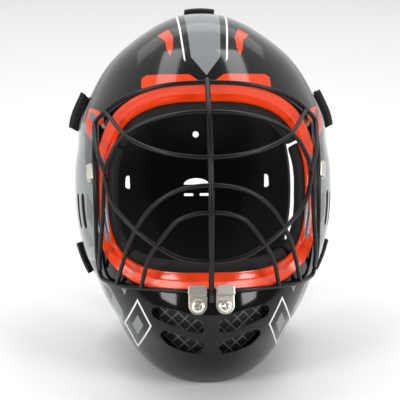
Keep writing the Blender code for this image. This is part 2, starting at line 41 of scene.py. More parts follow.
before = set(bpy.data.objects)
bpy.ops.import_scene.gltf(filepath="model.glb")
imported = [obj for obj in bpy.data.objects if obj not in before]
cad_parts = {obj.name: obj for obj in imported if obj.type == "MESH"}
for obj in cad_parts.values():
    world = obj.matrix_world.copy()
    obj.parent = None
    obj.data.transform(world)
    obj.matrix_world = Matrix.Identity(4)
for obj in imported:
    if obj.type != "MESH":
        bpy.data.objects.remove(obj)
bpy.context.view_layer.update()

MM = 0.001
HALF_WIDTH = 111 * MM
HALF_HEIGHT = 160 * MM
MIDDLE = Vector((0, 0, HALF_HEIGHT))
ROUNDNESS = 2.2

# Seat of the mask, as the frame has it
SEAT_TILT = math.radians(17)
SEAT_POINT = Vector((0, -62 * MM, 2 * MM))
SEAT_BACK_SHIFT = -37.9 * MM
SEAT_TURN = Matrix.Rotation(-SEAT_TILT, 4, "X")
SEAT_PLACE = Vector((0, SEAT_BACK_SHIFT, -(SEAT_TURN @ SEAT_POINT).z))
SEAT = Matrix.Translation(SEAT_PLACE) @ SEAT_TURN

# Reach of the skin from its middle point, as shares of half the height
SIDE_REACH = (
    # elevation, reach
    (-90, 1.000), (-78, 0.981), (-68.5, 0.931), (-59.5, 0.856), (-53, 0.800), (-45, 0.763),
    (-37.5, 0.731), (-26.6, 0.713), (-17, 0.700), (0, 0.694), (13.5, 0.711), (22, 0.728),
    (30.5, 0.773), (40.4, 0.806), (55, 0.872), (67, 0.916), (82, 0.978), (90, 0.990),
)
FRONT_REACH = (
    # elevation, reach
    (-90, 1.000), (-72.6, 1.048), (-64, 1.059), (-51, 1.044), (-38, 1.013), (-27.5, 0.881),
    (0, 0.800), (41.8, 0.863), (55.7, 0.906), (67.5, 0.947), (82, 0.979), (90, 0.990),
)
BACK_REACH = (
    # elevation, reach
    (-90, 1.000), (-70, 0.870), (-51, 0.805), (-40, 0.775), (-30, 0.756), (-9.5, 0.763),
    (9, 0.794), (34, 0.891), (51.6, 0.956), (68, 0.996), (90, 0.990),
)

# Shell
WALL = 3.0 * MM
OPENING = (48.0, 36.3, -28.2)
BAND = (50.0, 40.0, -31.4)
BAND_DEPTH = 8.0 * MM
TOP_CORNER = 2.7
BOTTOM_CORNER = 4.2
SHELL_REAR = (
    # turn round the opening, azimuth, elevation of the shell's rear edge
    (-90, 0, -81.6), (-78, 88, -76), (-66, 111, -62), (-58, 116, -50.6), (-45, 114.7, -39.3),
    (-30, 113.5, -25.5), (-10, 111.8, -7.2), (10, 112.7, 9.5), (30, 117.5, 28.8),
    (50, 127.2, 48.1), (70, 145, 64.1), (90, 180, 71.6),
)
BAND_SHARE = 0.14
CHIN_VENT_UPPER = (
    # x, z in millimetres
    (5, 58), (26, 67), (44, 71), (48, 67), (45, 61), (33.5, 56), (19, 50.5), (7, 48.5),
)
CHIN_VENT_LOWER = (
    # x, z in millimetres
    (5.5, 39.5), (22.8, 46.5), (33, 50), (39, 51), (41, 46), (34, 38), (22, 32.8), (8, 30),
)
CHIN_VENT_SPAN = (-160 * MM, -70 * MM)
CHIN_VENT_ROUNDING = 2.5 * MM
EAR_SLOT_WIDTH = 8 * MM
EAR_SLOT_HEIGHT = 30 * MM
EAR_SLOT_PLACES = (-54.5 * MM, -38.5 * MM)
EAR_SLOT_LEVEL = 147 * MM
EAR_SLOT_REACH = 0.3

# Cage, as rows of azimuth, elevation and lift off the skin in millimetres
RIM_WIRE = (
    (0, 39.7, 3.4), (15.7, 38.9, 3.4), (26, 37.3, 3.4), (37, 34.4, 3.4), (45, 30.6, 3.4),
    (51.3, 26.8, 3.4), (50.3, 21.5, 3.4), (49.3, 16.5, 3.4), (47.8, 9, 3.4), (47.3, -2.3, 3.4),
    (48.3, -13.6, 3.4), (50.8, -22.5, 3.4), (52.6, -29, 3.4), (51, -31.6, 3.4), (37, -31.7, 3.4),
    (25.5, -31.1, 3.4), (13, -30.9, 3.4), (0, -30.9, 3.4),
)
INNER_LOOP = (
    (51, -28, 3.6), (46.5, -22, 6), (40, -7.2, 9.5), (37.6, 7.3, 12), (35.6, 12.2, 12.8),
    (31.4, 18.2, 13), (22.6, 22.9, 13.5), (10.3, 25.5, 13.7), (0, 26, 13.8),
)
TOP_SMILE = ((45, 30.4, 3.6), (27.8, 18.3, 14), (14.2, 12.7, 18.2), (0, 10.9, 19.6))
CORNER_BAR = ((51.1, 26.4, 3.6), (44, 16, 9), (37.2, 6.5, 12.4))
BOTTOM_SMILE = (
    (37.6, 6.2, 12.3), (33.8, -2.7, 13.6), (24.9, -11.2, 14.4), (17, -16.7, 13.6),
    (9.5, -20.3, 12.2), (0, -21.4, 11.7),
)
FIRST_ARC = (
    (39.5, -31.7, 3.6), (29.7, -18.4, 10.7), (24.4, -10.9, 14.6), (18.5, -4.1, 17.6),
    (10.6, 0.8, 19.5), (0, 2.4, 20.2),
)
SECOND_ARC = (
    (26.5, -31.1, 3.6), (21.7, -21.5, 10.4), (16.4, -14.7, 14.5), (10.5, -8.3, 17.7),
    (5.2, -6.3, 18.7), (0, -5.9, 18.9),
)
UPRIGHT = (
    (0, 40.6, 3.8), (0, 26, 13.8), (0, 10.9, 19.6), (0, 2.4, 20.2), (0, -5.9, 18.9),
    (0, -21.4, 11.7), (0, -30.9, 4.2), (0, -33.5, 3.6),
)

# Back plate and straps
BACK_OUTLINE = (46.0, 57.0, -67.0)
BACK_WALL = 2.6 * MM
DOME_HOLE = (12 * MM, 170 * MM, 6 * MM)
STRAP_LIFT = 1.2 * MM
STRAP_THICKNESS = 2.0 * MM
STRAP_FOLDS = {"upper": 7.5 * MM, "lower": 3.6 * MM}
TOP_FOLD = 3.4 * MM
SIDE_STRAP_LEVELS = {"upper": (27.5, 41.0), "lower": (-34.0, -20.5)}
SIDE_STRAP_RANGE = (92.0, 153.0)
TOP_STRAP_RANGE = (94.0, 134.0)
TOP_STRAP_HALF_WIDTH = 4.6

# Skin and curves
def along(rows, x, column=1):
    """Smooth value of a table's column at x, where its first column rises."""
    last = len(rows) - 1
    x = min(max(x, rows[0][0]), rows[last][0])
    k = max(i for i in range(last) if rows[i][0] <= x)

    def slope(i):
        a, b = max(i - 1, 0), min(i + 1, last)
        return (rows[b][column] - rows[a][column]) / (rows[b][0] - rows[a][0])

    step = rows[k + 1][0] - rows[k][0]
    t = (x - rows[k][0]) / step
    start, end = rows[k][column], rows[k + 1][column]
    return (
        (2 * t**3 - 3 * t**2 + 1) * start + (t**3 - 2 * t**2 + t) * step * slope(k)
        + (3 * t**2 - 2 * t**3) * end + (t**3 - t**2) * step * slope(k + 1)
    )


def heading(azimuth, elevation):
    """Unit vector of an azimuth from the face, and an elevation, in degrees."""
    a, e = math.radians(azimuth), math.radians(elevation)
    return Vector((math.sin(a) * math.cos(e), -math.cos(a) * math.cos(e), math.sin(e)))


def reach(way):
    """How far the skin lies from the middle point along a unit vector."""
    elevation = math.degrees(math.asin(max(-1.0, min(1.0, way.z))))
    flat = max(math.hypot(way.x, way.y), 1e-9)
    side = along(SIDE_REACH, elevation) * HALF_HEIGHT
    ends = along(FRONT_REACH if way.y <= 0 else BACK_REACH, elevation) * HALF_HEIGHT
    across, onward = abs(way.x) / flat, abs(way.y) / flat
    power = 2 + (ROUNDNESS - 2) * (1 - way.z**2)
    return ((onward / ends) ** power + (across / side) ** power) ** (-1 / power)


def on_skin(way, lift=0.0):
    """Point on the skin along a unit vector, lifted off it by some metres."""
    return MIDDLE + way * (reach(way) + lift)


def round_opening(turn, half_azimuth, top, bottom):
    """Heading on a rounded rectangle of azimuth and elevation, at a turn in degrees."""
    t = math.radians(turn)
    c, s = math.cos(t), math.sin(t)
    power = 2 / (TOP_CORNER if s > 0 else BOTTOM_CORNER)
    azimuth = math.copysign(half_azimuth * abs(c) ** power, c)
    elevation = (top + bottom) / 2 + math.copysign((top - bottom) / 2 * abs(s) ** power, s)
    return heading(azimuth, elevation)


def rear_way(turn):
    """Heading of the shell's rear edge at a turn round the opening."""
    turn = (turn + 180) % 360 - 180
    mirrored = abs(turn) > 90
    if mirrored:
        turn = math.copysign(180 - abs(turn), turn)
    way = heading(along(SHELL_REAR, turn, 1), along(SHELL_REAR, turn, 2))
    if mirrored:
        way.x = -way.x
    return way


def smooth_path(points, spacing):
    """Points at about an even spacing on a smooth curve through the given ones."""
    rows = [(0.0, *points[0])]
    for before, point in zip(points, points[1:]):
        rows.append((rows[-1][0] + (point - before).length, *point))
    length = rows[-1][0]
    count = max(2, round(length / spacing))
    return [Vector([along(rows, length * i / count, c) for c in (1, 2, 3)]) for i in range(count + 1)]


def seated(points):
    """Points of the mask's own frame, leant back onto its rim."""
    return [SEAT @ point for point in points]


def skin_frame(way, up_hint):
    """Point on the skin, with the way out of it and the way up along it."""
    step = 0.02
    side = way.cross(up_hint).normalized()
    up = side.cross(way).normalized()
    rise = on_skin((way + up * step).normalized()) - on_skin((way - up * step).normalized())
    cross = on_skin((way + side * step).normalized()) - on_skin((way - side * step).normalized())
    out = cross.cross(rise).normalized()
    if out.dot(way) < 0:
        out = -out
    return on_skin(way), out, rise.normalized()


# Objects
def keep(bm, name, materials, body="root", smooth=40):
    """Object of a bmesh in the mask's own frame, seated and riding on a body."""
    bm.transform(SEAT)
    mesh = bpy.data.meshes.new(name)
    bm.to_mesh(mesh)
    bm.free()
    for made in materials:
        mesh.materials.append(made)
    mesh.shade_smooth()
    mesh.set_sharp_from_angle(angle=math.radians(smooth))
    piece = bpy.data.objects.new(name, mesh)
    bpy.context.scene.collection.objects.link(piece)
    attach(piece, body)
    return piece


def settle(piece, smooth=40):
    """Apply a piece's modifiers to its mesh."""
    bpy.context.view_layer.update()
    shown = piece.evaluated_get(bpy.context.evaluated_depsgraph_get())
    mesh = bpy.data.meshes.new_from_object(shown)
    piece.modifiers.clear()
    piece.data = mesh
    mesh.shade_smooth()
    mesh.set_sharp_from_angle(angle=math.radians(smooth))
    return piece


def face_out(bm):
    """Turn an open skin's faces away from the middle of the mask."""
    bmesh.ops.recalc_face_normals(bm, faces=bm.faces)
    bm.normal_update()
    outward = sum(f.normal.dot(f.calc_center_median() - MIDDLE) * f.calc_area() for f in bm.faces)
    if outward < 0:
        bmesh.ops.reverse_faces(bm, faces=bm.faces)


def wall(piece, thickness, offset=-1.0, **settings):
    """Solidify modifier on a piece."""
    made = piece.modifiers.new("wall", "SOLIDIFY")
    made.thickness = thickness
    made.offset = offset
    made.use_even_offset = True
    for name, value in settings.items():
        setattr(made, name, value)
    return made


def soft_edge(piece, width, segments=2, angle=40):
    """Bevel modifier on a piece's sharp edges."""
    made = piece.modifiers.new("edge", "BEVEL")
    made.width = width
    made.segments = segments
    made.limit_method = "ANGLE"
    made.angle_limit = math.radians(angle)
    made.harden_normals = False
    return made


# Colours
def colour(code):
    """Linear colour of an sRGB hex code."""
    parts = [int(code[i:i + 2], 16) / 255 for i in (1, 3, 5)]
    return tuple(p / 12.92 if p <= 0.04045 else ((p + 0.055) / 1.055) ** 2.4 for p in parts)


BLACK_LACQUER = colour("#0e0f0e")
SIGNAL_ORANGE = colour("#f0420c")
SILVER = colour("#7f8385")
STEEL_GREY = colour("#606164")
DARK_GREY = colour("#303032")
OUTLINE_WHITE = colour("#eeeeec")
BLACK_PLASTIC = colour("#141414")
LATTICE_GREY = colour("#5c5d60")
BLACK_FOAM = colour("#121212")
BLACK_YARN = colour("#0b0b0c")
BLACK_POWDER = colour("#090909")
STAINLESS = colour("#ece6dc")
FLOOR_WHITE = colour("#f4f4f4")


# Nodes
def add(tree, kind, links=None, **settings):
    """Add a node with its settings, its sockets' values and its links."""
    node = tree.nodes.new(kind)
    for name, value in settings.items():
        setattr(node, name, value)
    for name, value in (links or {}).items():
        if isinstance(value, bpy.types.NodeSocket):
            tree.links.new(value, node.inputs[name])
        else:
            node.inputs[name].default_value = value
    return node


def start_material(name, base, roughness, **sockets):
    """Material with its Principled shader's own sockets set."""
    made = bpy.data.materials.new(name)
    made.use_nodes = True
    made.diffuse_color = (*base, 1)
    shader = made.node_tree.nodes["Principled BSDF"]
    shader.inputs["Base Color"].default_value = (*base, 1)
    shader.inputs["Roughness"].default_value = roughness
    for socket, value in sockets.items():
        shader.inputs[socket.replace("_", " ").title()].default_value = value
    return made, made.node_tree, shader


def bump(tree, shader, height, distance, strength=1.0):
    """Bump from a height on a material's shader."""
    made = add(tree, "ShaderNodeBump", {"Height": height, "Distance": distance, "Strength": strength})
    tree.links.new(made.outputs["Normal"], shader.inputs["Normal"])


def spread(tree, value, low, high):
    """Map a value from 0..1 to a range."""
    return add(tree, "ShaderNodeMapRange", {"Value": value, "To Min": low, "To Max": high}).outputs[0]


def noise(tree, place, size, detail=3.0):
    """Noise whose grains are about a size in metres."""
    return add(tree, "ShaderNodeTexNoise", {"Vector": place, "Scale": 1 / size, "Detail": detail}).outputs[0]


def mask_planes(tree):
    """Object coordinates, their views from the front and the side, and the point in the mask's own frame."""
    place = add(tree, "ShaderNodeTexCoord").outputs["Object"]
    turn = {"Vector": place, "Location": SEAT_PLACE, "Rotation": (-SEAT_TILT, 0, 0)}
    own = add(tree, "ShaderNodeMapping", turn, vector_type="TEXTURE").outputs[0]
    x, y, z = add(tree, "ShaderNodeSeparateXYZ", {"Vector": own}).outputs
    across = add(tree, "ShaderNodeMath", {0: x}, operation="ABSOLUTE").outputs[0]
    planes = {name: add(tree, "ShaderNodeCombineXYZ", {"X": first, "Y": z, "Z": 1.0}).outputs[0]
              for name, first in (("front", across), ("side", y))}
    return place, planes, own


def depth_in(tree, plane, corners):
    """Distance in from the nearest side of a convex outline, in metres; corners are in millimetres."""
    turning = sum(a[0] * b[1] - b[0] * a[1] for a, b in zip(corners, corners[1:] + corners[:1]))
    if turning < 0:
        corners = corners[::-1]
    nearest = None
    for a, b in zip(corners, corners[1:] + corners[:1]):
        run, rise = b[0] - a[0], b[1] - a[1]
        length = math.hypot(run, rise)
        across, up = -rise / length, run / length
        line = (across, up, -(across * a[0] + up * a[1]) * MM)
        gap = add(tree, "ShaderNodeVectorMath", {0: plane, 1: line}, operation="DOT_PRODUCT").outputs["Value"]
        if nearest is not None:
            gap = add(tree, "ShaderNodeMath", {0: nearest, 1: gap}, operation="MINIMUM").outputs[0]
        nearest = gap
    return nearest


PAINT_EDGE = 0.25 * MM


def inside(tree, depth, reach_in=0.0):
    """1 where a depth is over a value and 0 where it is under, with a fine edge."""
    return add(tree, "ShaderNodeMath", {0: depth, 1: 1 / PAINT_EDGE, 2: 0.5 - reach_in / PAINT_EDGE},
               operation="MULTIPLY_ADD", use_clamp=True).outputs[0]


def fill(tree, plane, shapes):
    """1 inside any of some convex outlines."""
    masks = [inside(tree, depth_in(tree, plane, list(shape))) for shape in shapes]
    total = masks[0]
    for mask in masks[1:]:
        total = add(tree, "ShaderNodeMath", {0: total, 1: mask}, operation="MAXIMUM").outputs[0]
    return total


def line_round(tree, depth, width):
    """1 on a line of a width in metres round a shape, from its depth."""
    size = add(tree, "ShaderNodeMath", {0: depth}, operation="ABSOLUTE").outputs[0]
    return add(tree, "ShaderNodeMath", {0: size, 1: -1 / PAINT_EDGE, 2: 0.5 + width / 2 / PAINT_EDGE},
               operation="MULTIPLY_ADD", use_clamp=True).outputs[0]


def lay(tree, below, mask, tint):
    """Lay a colour over the one below, where a mask says."""
    made = add(tree, "ShaderNodeMix", {"Factor": mask}, data_type="RGBA")
    first, second = [socket for socket in made.inputs if socket.type == "RGBA"]
    if isinstance(below, bpy.types.NodeSocket):
        tree.links.new(below, first)
    else:
        first.default_value = (*below, 1)
    second.default_value = (*tint, 1)
    return [socket for socket in made.outputs if socket.type == "RGBA"][0]


# Shell paint in the mask's own frame, in millimetres: x or y, and z, of each convex shape
CRESCENTS = (
    ((38.5, 293.7), (29.6, 299), (25.7, 290.8), (32.3, 287.5)),
    ((32.3, 287.5), (25.7, 290.8), (26.4, 281), (31.6, 280.5)),
    ((31.6, 280.5), (26.4, 281), (29, 273.5)),
)
BROW_BARS = (((6, 251), (14, 257), (48.5, 257.5), (52.5, 255), (53, 247.5), (50.5, 244.5), (30, 245.5)),)
CORNER_PATCHES = (
    ((96.6, 234), (88, 230), (83.7, 222), (86.3, 216.7), (90.7, 223)),
    ((96.6, 234), (90.7, 223), (93.3, 216.5), (95.9, 205), (98.8, 213.7), (99.9, 224)),
)
CORNER_SILVER = (((90, 229.7), (82, 214.8), (85.4, 215)),)
JAW_SILVER = (
    ((70, 70.5), (79.6, 82), (85, 92.5), (90, 97), (100, 92), (94, 70), (80, 56), (71, 45)),
)
JAW_WEDGES = (((73.2, 87.3), (66.2, 86.7), (68.7, 78.6)),)
JAW_DARK = (
    ((89.6, 95), (85.3, 92.4), (84.6, 88), (88.4, 89.5)),
    ((87, 86.5), (81.8, 82.8), (79, 77.2), (80.2, 69), (84.5, 75.7)),
)
LOZENGE = ((58.5, 33), (69, 54), (58.5, 75), (48, 54))
LOZENGE_HEART = (((58.5, 45), (63, 54), (58.5, 63), (54, 54)),)
CROWN_STRIPE = (((0, 256), (12, 272), (17, 340), (-17, 340), (-12, 272)),)
CROWN_PINSTRIPES = (((16.5, 268), (18, 270), (24.5, 340), (22.5, 340)),)
CORNER_GREY = (((97.3, 229.9), (93.6, 230.2), (89.9, 224.6), (91.5, 219.7), (95.2, 220.9)),)
SIDE_SILVER = (
    ((-100, 106), (-100, 206), (-62, 222), (-24, 222), (-6, 200), (-2, 150), (-18, 104)),
    ((-30, 226), (4, 248), (22, 210), (-8, 190)), ((14, 176), (46, 196), (58, 160), (28, 142)),
    ((10, 92), (38, 112), (50, 78), (24, 60)), ((-50, 84), (-24, 92), (-16, 60), (-46, 52)),
)
SIDE_STEEL = (
    ((-44.3, 216.7), (-66, 204.9), (-82, 176), (-82, 165), (-66, 175)),
    ((-64.6, 163.3), (-75, 150.9), (-70, 134), (-61.9, 142.5)),
    ((-23.7, 131.8), (-57.3, 131.6), (-66, 119), (-30, 112)), ((-8, 190), (22, 210), (14, 176), (-12, 164)),
    ((2, 122), (34, 138), (38, 112), (10, 92)), ((44, 226), (72, 240), (80, 204), (52, 190)),
    ((58, 160), (84, 172), (88, 138), (64, 126)),
)
SIDE_DARK = (
    ((28, 142), (58, 160), (64, 126), (34, 138)), ((22, 210), (52, 190), (46, 196), (14, 176)),
    ((50, 78), (64, 126), (78, 96), (60, 60)),
)
SIDE_START = 92 * MM
FACE_END = -18 * MM
OUTLINE_WIDTH = 1.3 * MM


def both(tree, first, second, operation="MULTIPLY"):
    """Two values taken together."""
    return add(tree, "ShaderNodeMath", {0: first, 1: second}, operation=operation).outputs[0]


def shell_lacquer(base, accent, silver):
    """Sprayed ABS under clear lacquer: deep gloss, clean paint edges, the faintest waviness."""
    made, tree, shader = start_material("sprayed ABS shell", base, 0.18)
    place, planes, own = mask_planes(tree)
    parts = add(tree, "ShaderNodeSeparateXYZ", {"Vector": own}).outputs
    flank = inside(tree, add(tree, "ShaderNodeMath", {0: parts[0]}, operation="ABSOLUTE").outputs[0],
                   SIDE_START)
    face = inside(tree, both(tree, FACE_END, parts[1], "SUBTRACT"))
    shown = base
    for shapes, tint in ((SIDE_SILVER, silver), (SIDE_STEEL, STEEL_GREY), (SIDE_DARK, DARK_GREY)):
        shown = lay(tree, shown, both(tree, fill(tree, planes["side"], shapes), flank), tint)
    for shapes, tint in (
        (JAW_SILVER, silver), (JAW_DARK, DARK_GREY), (JAW_WEDGES, silver), (CORNER_SILVER, silver),
        (CORNER_PATCHES, accent), (CORNER_GREY, STEEL_GREY), (BROW_BARS, accent), (CRESCENTS, accent),
    ):
        shown = lay(tree, shown, both(tree, fill(tree, planes["front"], shapes), face), tint)
    lozenge = depth_in(tree, planes["front"], LOZENGE)
    shown = lay(tree, shown, both(tree, inside(tree, lozenge), face), base)
    shown = lay(tree, shown, both(tree, fill(tree, planes["front"], LOZENGE_HEART), face), silver)
    shown = lay(tree, shown, both(tree, line_round(tree, lozenge, OUTLINE_WIDTH), face), OUTLINE_WHITE)
    for shapes, tint in ((CROWN_STRIPE, silver), (CROWN_PINSTRIPES, OUTLINE_WHITE)):
        shown = lay(tree, shown, fill(tree, planes["front"], shapes), tint)
    tree.links.new(shown, shader.inputs["Base Color"])
    shader.inputs["Specular IOR Level"].default_value = 0.22
    shader.inputs["Coat Weight"].default_value = 0.15
    shader.inputs["Coat Roughness"].default_value = 0.03
    bump(tree, shader, noise(tree, place, 14 * MM, 1.0), 0.06 * MM, 0.15)
    tree.links.new(spread(tree, noise(tree, place, 4 * MM), 0.08, 0.16), shader.inputs["Roughness"])
    return made


# Other materials
BAND_WALL_SIDE = (((88.4, 100), (88.4, 216), (110, 216), (110, 100)),)
# Painted highlight: thin bright strips along the band's inner edge at the sides, in the silver tint
BAND_EDGE_HIGHLIGHT = (
    # x, z in millimetres
    ((83, 163), (81, 143), (80.6, 122), (84, 122), (86, 143)),
    ((86.6, 194), (83.5, 188), (84.7, 181), (89, 186)),
)


def band_lacquer(base, accent, silver):
    """The same sprayed lacquer in the recess round the face: one colour, with thin strips of painted
    highlight at its sides.
    """
    made, tree, shader = start_material("sprayed ABS band", accent, 0.2)
    place, planes, own = mask_planes(tree)
    shown = lay(tree, accent, fill(tree, planes["front"], BAND_WALL_SIDE), base)
    # Painted highlight: the silver tint laid in thin strips along the band's inner edge at the sides
    shown = lay(tree, shown, fill(tree, planes["front"], BAND_EDGE_HIGHLIGHT), silver)
    tree.links.new(shown, shader.inputs["Base Color"])
    shader.inputs["Coat Weight"].default_value = 0.3
    shader.inputs["Coat Roughness"].default_value = 0.05
    bump(tree, shader, noise(tree, place, 14 * MM, 1.0), 0.03 * MM, 0.15)
    tree.links.new(spread(tree, noise(tree, place, 5 * MM), 0.16, 0.26), shader.inputs["Roughness"])
    return made


def moulded_plastic(name, base, roughness, grain):
    """Injection moulded plastic: a fine even grain that breaks its highlights, and faint cloudiness."""
    made, tree, shader = start_material(name, base, roughness)
    place = add(tree, "ShaderNodeTexCoord").outputs["Object"]
    grains = add(tree, "ShaderNodeTexVoronoi", {"Vector": place, "Scale": 1 / grain}).outputs["Distance"]
    bump(tree, shader, grains, 0.12 * MM, 0.35)
    clouds = spread(tree, noise(tree, place, 25 * MM), roughness - 0.08, roughness + 0.1)
    tree.links.new(clouds, shader.inputs["Roughness"])
    return made


def powder_coat(base):
    """Powder coated steel wire: near black, semi gloss, with a soft orange peel."""
    made, tree, shader = start_material("powder coated steel", base, 0.32)
    shader.inputs["Specular IOR Level"].default_value = 0.35
    place = add(tree, "ShaderNodeTexCoord").outputs["Object"]
    bump(tree, shader, noise(tree, place, 1.5 * MM, 2.0), 0.08 * MM, 0.4)
    tree.links.new(spread(tree, noise(tree, place, 8 * MM), 0.24, 0.4), shader.inputs["Roughness"])
    return made


def stainless_steel(base):
    """Tumbled stainless steel: bright, with short fine scratches."""
    made, tree, shader = start_material("tumbled stainless steel", base, 0.3, metallic=1.0)
    place = add(tree, "ShaderNodeTexCoord").outputs["Object"]
    stretched = add(tree, "ShaderNodeMapping", {"Vector": place, "Scale": (1, 6, 1)}).outputs[0]
    scratches = noise(tree, stretched, 1.2 * MM, 4.0)
    bump(tree, shader, scratches, 0.03 * MM, 0.3)
    tree.links.new(spread(tree, scratches, 0.22, 0.42), shader.inputs["Roughness"])
    return made


def closed_foam(base):
    """Closed cell EVA foam: matt, with fine open pores on its cut skin."""
    made, tree, shader = start_material("EVA foam", base, 0.85)
    place = add(tree, "ShaderNodeTexCoord").outputs["Object"]
    pores = add(tree, "ShaderNodeTexVoronoi", {"Vector": place, "Scale": 1 / (1.6 * MM)}).outputs["Distance"]
    bump(tree, shader, pores, 0.3 * MM, 0.6)
    shade = spread(tree, noise(tree, place, 18 * MM), 0.75, 1.3)
    tree.links.new(tinted(tree, base, shade), shader.inputs["Base Color"])
    return made


def tinted(tree, base, shade):
    """A colour made lighter or darker by a value."""
    node = add(tree, "ShaderNodeVectorMath", {0: base, "Scale": shade}, operation="SCALE")
    return node.outputs[0]


WEAVE_PITCH = 1.1 * MM
RIB_PITCH = 1.5 * MM
WARP_SHARE = 0.35


def elastic_webbing(base):
    """Woven elastic: ribs across the strap, crossed by fine warp threads, with a dull sheen, and painted
    shade that makes the colour lighter on the crests and darker in the hollows.

    The strap's UV map is in metres, so the ribs keep their spacing round its folds.
    """
    made, tree, shader = start_material("woven elastic", base, 0.8, sheen_weight=0.1, sheen_roughness=0.5)
    lengths = add(tree, "ShaderNodeTexCoord").outputs["UV"]
    parts = add(tree, "ShaderNodeSeparateXYZ", {"Vector": lengths}).outputs
    waves = [add(tree, "ShaderNodeMath", {0: both(tree, part, math.tau / pitch)}, operation="SINE").outputs[0]
             for part, pitch in ((parts[0], RIB_PITCH), (parts[1], WEAVE_PITCH))]
    height = add(tree, "ShaderNodeMath", {0: waves[1], 1: WARP_SHARE, 2: waves[0]},
                 operation="MULTIPLY_ADD").outputs[0]
    bump(tree, shader, height, 0.18 * MM, 0.8)
    most = 1 + WARP_SHARE
    # Painted shade: the yarn's colour lighter on the rib crests and darker in the hollows, from the bump's
    # height
    painted_rib_shade = add(tree, "ShaderNodeMapRange", {"Value": height, "From Min": -most, "From Max": most,
                                           "To Min": 0.6, "To Max": 1.8}).outputs[0]
    tree.links.new(tinted(tree, base, painted_rib_shade), shader.inputs["Base Color"])
    return made


# Pieces
def grid(name, columns, rows, place, across=None):
    """Bmesh grid whose points go where place(u, v) says, with u and v from 0 to 1.

    With across given, it gets a UV map of u and v times those two lengths.
    """
    bm = bmesh.new()
    layer = bm.loops.layers.uv.new("metres") if across else None
    bmesh.ops.create_grid(bm, x_segments=columns, y_segments=rows, size=0.5)
    if across:
        for face in bm.faces:
            for loop in face.loops:
                loop[layer].uv = ((loop.vert.co.x + 0.5) * across[0], (loop.vert.co.y + 0.5) * across[1])
    for point in bm.verts:
        point.co = place(point.co.x + 0.5, point.co.y + 0.5)
    return bm


def rounded_prism(outline, low, high, rounding=0.0, segments=4):
    """Cutter in the mask's own frame: an (x, z) outline in metres with round corners, along y."""
    bm = bmesh.new()
    face = bm.faces.new([bm.verts.new((x, low, z)) for x, z in outline])
    if rounding:
        bmesh.ops.bevel(bm, geom=list(bm.verts), offset=rounding, offset_type="OFFSET", segments=segments,
                        profile=0.5, affect="VERTICES", material=-1)
        face = max(bm.faces, key=lambda f: f.calc_area())
    pushed = bmesh.ops.extrude_face_region(bm, geom=[face])
    moved = [v for v in pushed["geom"] if isinstance(v, bmesh.types.BMVert)]
    bmesh.ops.translate(bm, verts=moved, vec=(0, high - low, 0))
    bmesh.ops.recalc_face_normals(bm, faces=bm.faces)
    return bm


def cut(piece, cutters, seated_cutters=(), inside_slot=0):
    """Cut bmeshes out of a piece, those of the mask's own frame being seated first."""
    made = []
    for i, (bm, lean) in enumerate([(c, True) for c in cutters] + [(c, False) for c in seated_cutters]):
        if lean:
            bm.transform(SEAT)
        for face in bm.faces:
            face.material_index = inside_slot
        mesh = bpy.data.meshes.new(f"cutter_{i}")
        bm.to_mesh(mesh)
        bm.free()
        cutter = bpy.data.objects.new(mesh.name, mesh)
        bpy.context.scene.collection.objects.link(cutter)
        hole = piece.modifiers.new("hole", "BOOLEAN")
        hole.solver = "EXACT"
        hole.operation = "DIFFERENCE"
        hole.object = cutter
        made.append(cutter)
    settle(piece)
    for cutter in made:
        mesh = cutter.data
        bpy.data.objects.remove(cutter)
        bpy.data.meshes.remove(mesh)


FLOOR_BLOCK = Vector((0.6, 0.8, 0.2))


def floor_block():
    """Block under the floor, which cuts a rim flat."""
    bm = bmesh.new()
    middle = Vector((0, 0, -FLOOR_BLOCK.z / 2))
    bmesh.ops.create_cube(bm, size=1.0, matrix=Matrix.LocRotScale(middle, None, FLOOR_BLOCK))
    return bm


SHELL_COLUMNS = 224
SHELL_ROWS = 84
WALL_START = 0.7
WALL_END = 0.97
BAND_ROWS = round(BAND_SHARE * SHELL_ROWS)
LINING = 2


def shell_place(u, v):
    """Outer skin of the shell: u round the opening, v from the opening's edge to the rear edge."""
    turn = 360 * u
    band = round_opening(turn, *BAND)
    if v < BAND_SHARE:
        t = v / BAND_SHARE
        rise = min(max((t - WALL_START) / (WALL_END - WALL_START), 0), 1)
        rise = rise * rise * (3 - 2 * rise)
        return on_skin(round_opening(turn, *OPENING).slerp(band, t), -BAND_DEPTH * (1 - rise))
    return on_skin(band.slerp(rear_way(turn), (v - BAND_SHARE) / (1 - BAND_SHARE)))


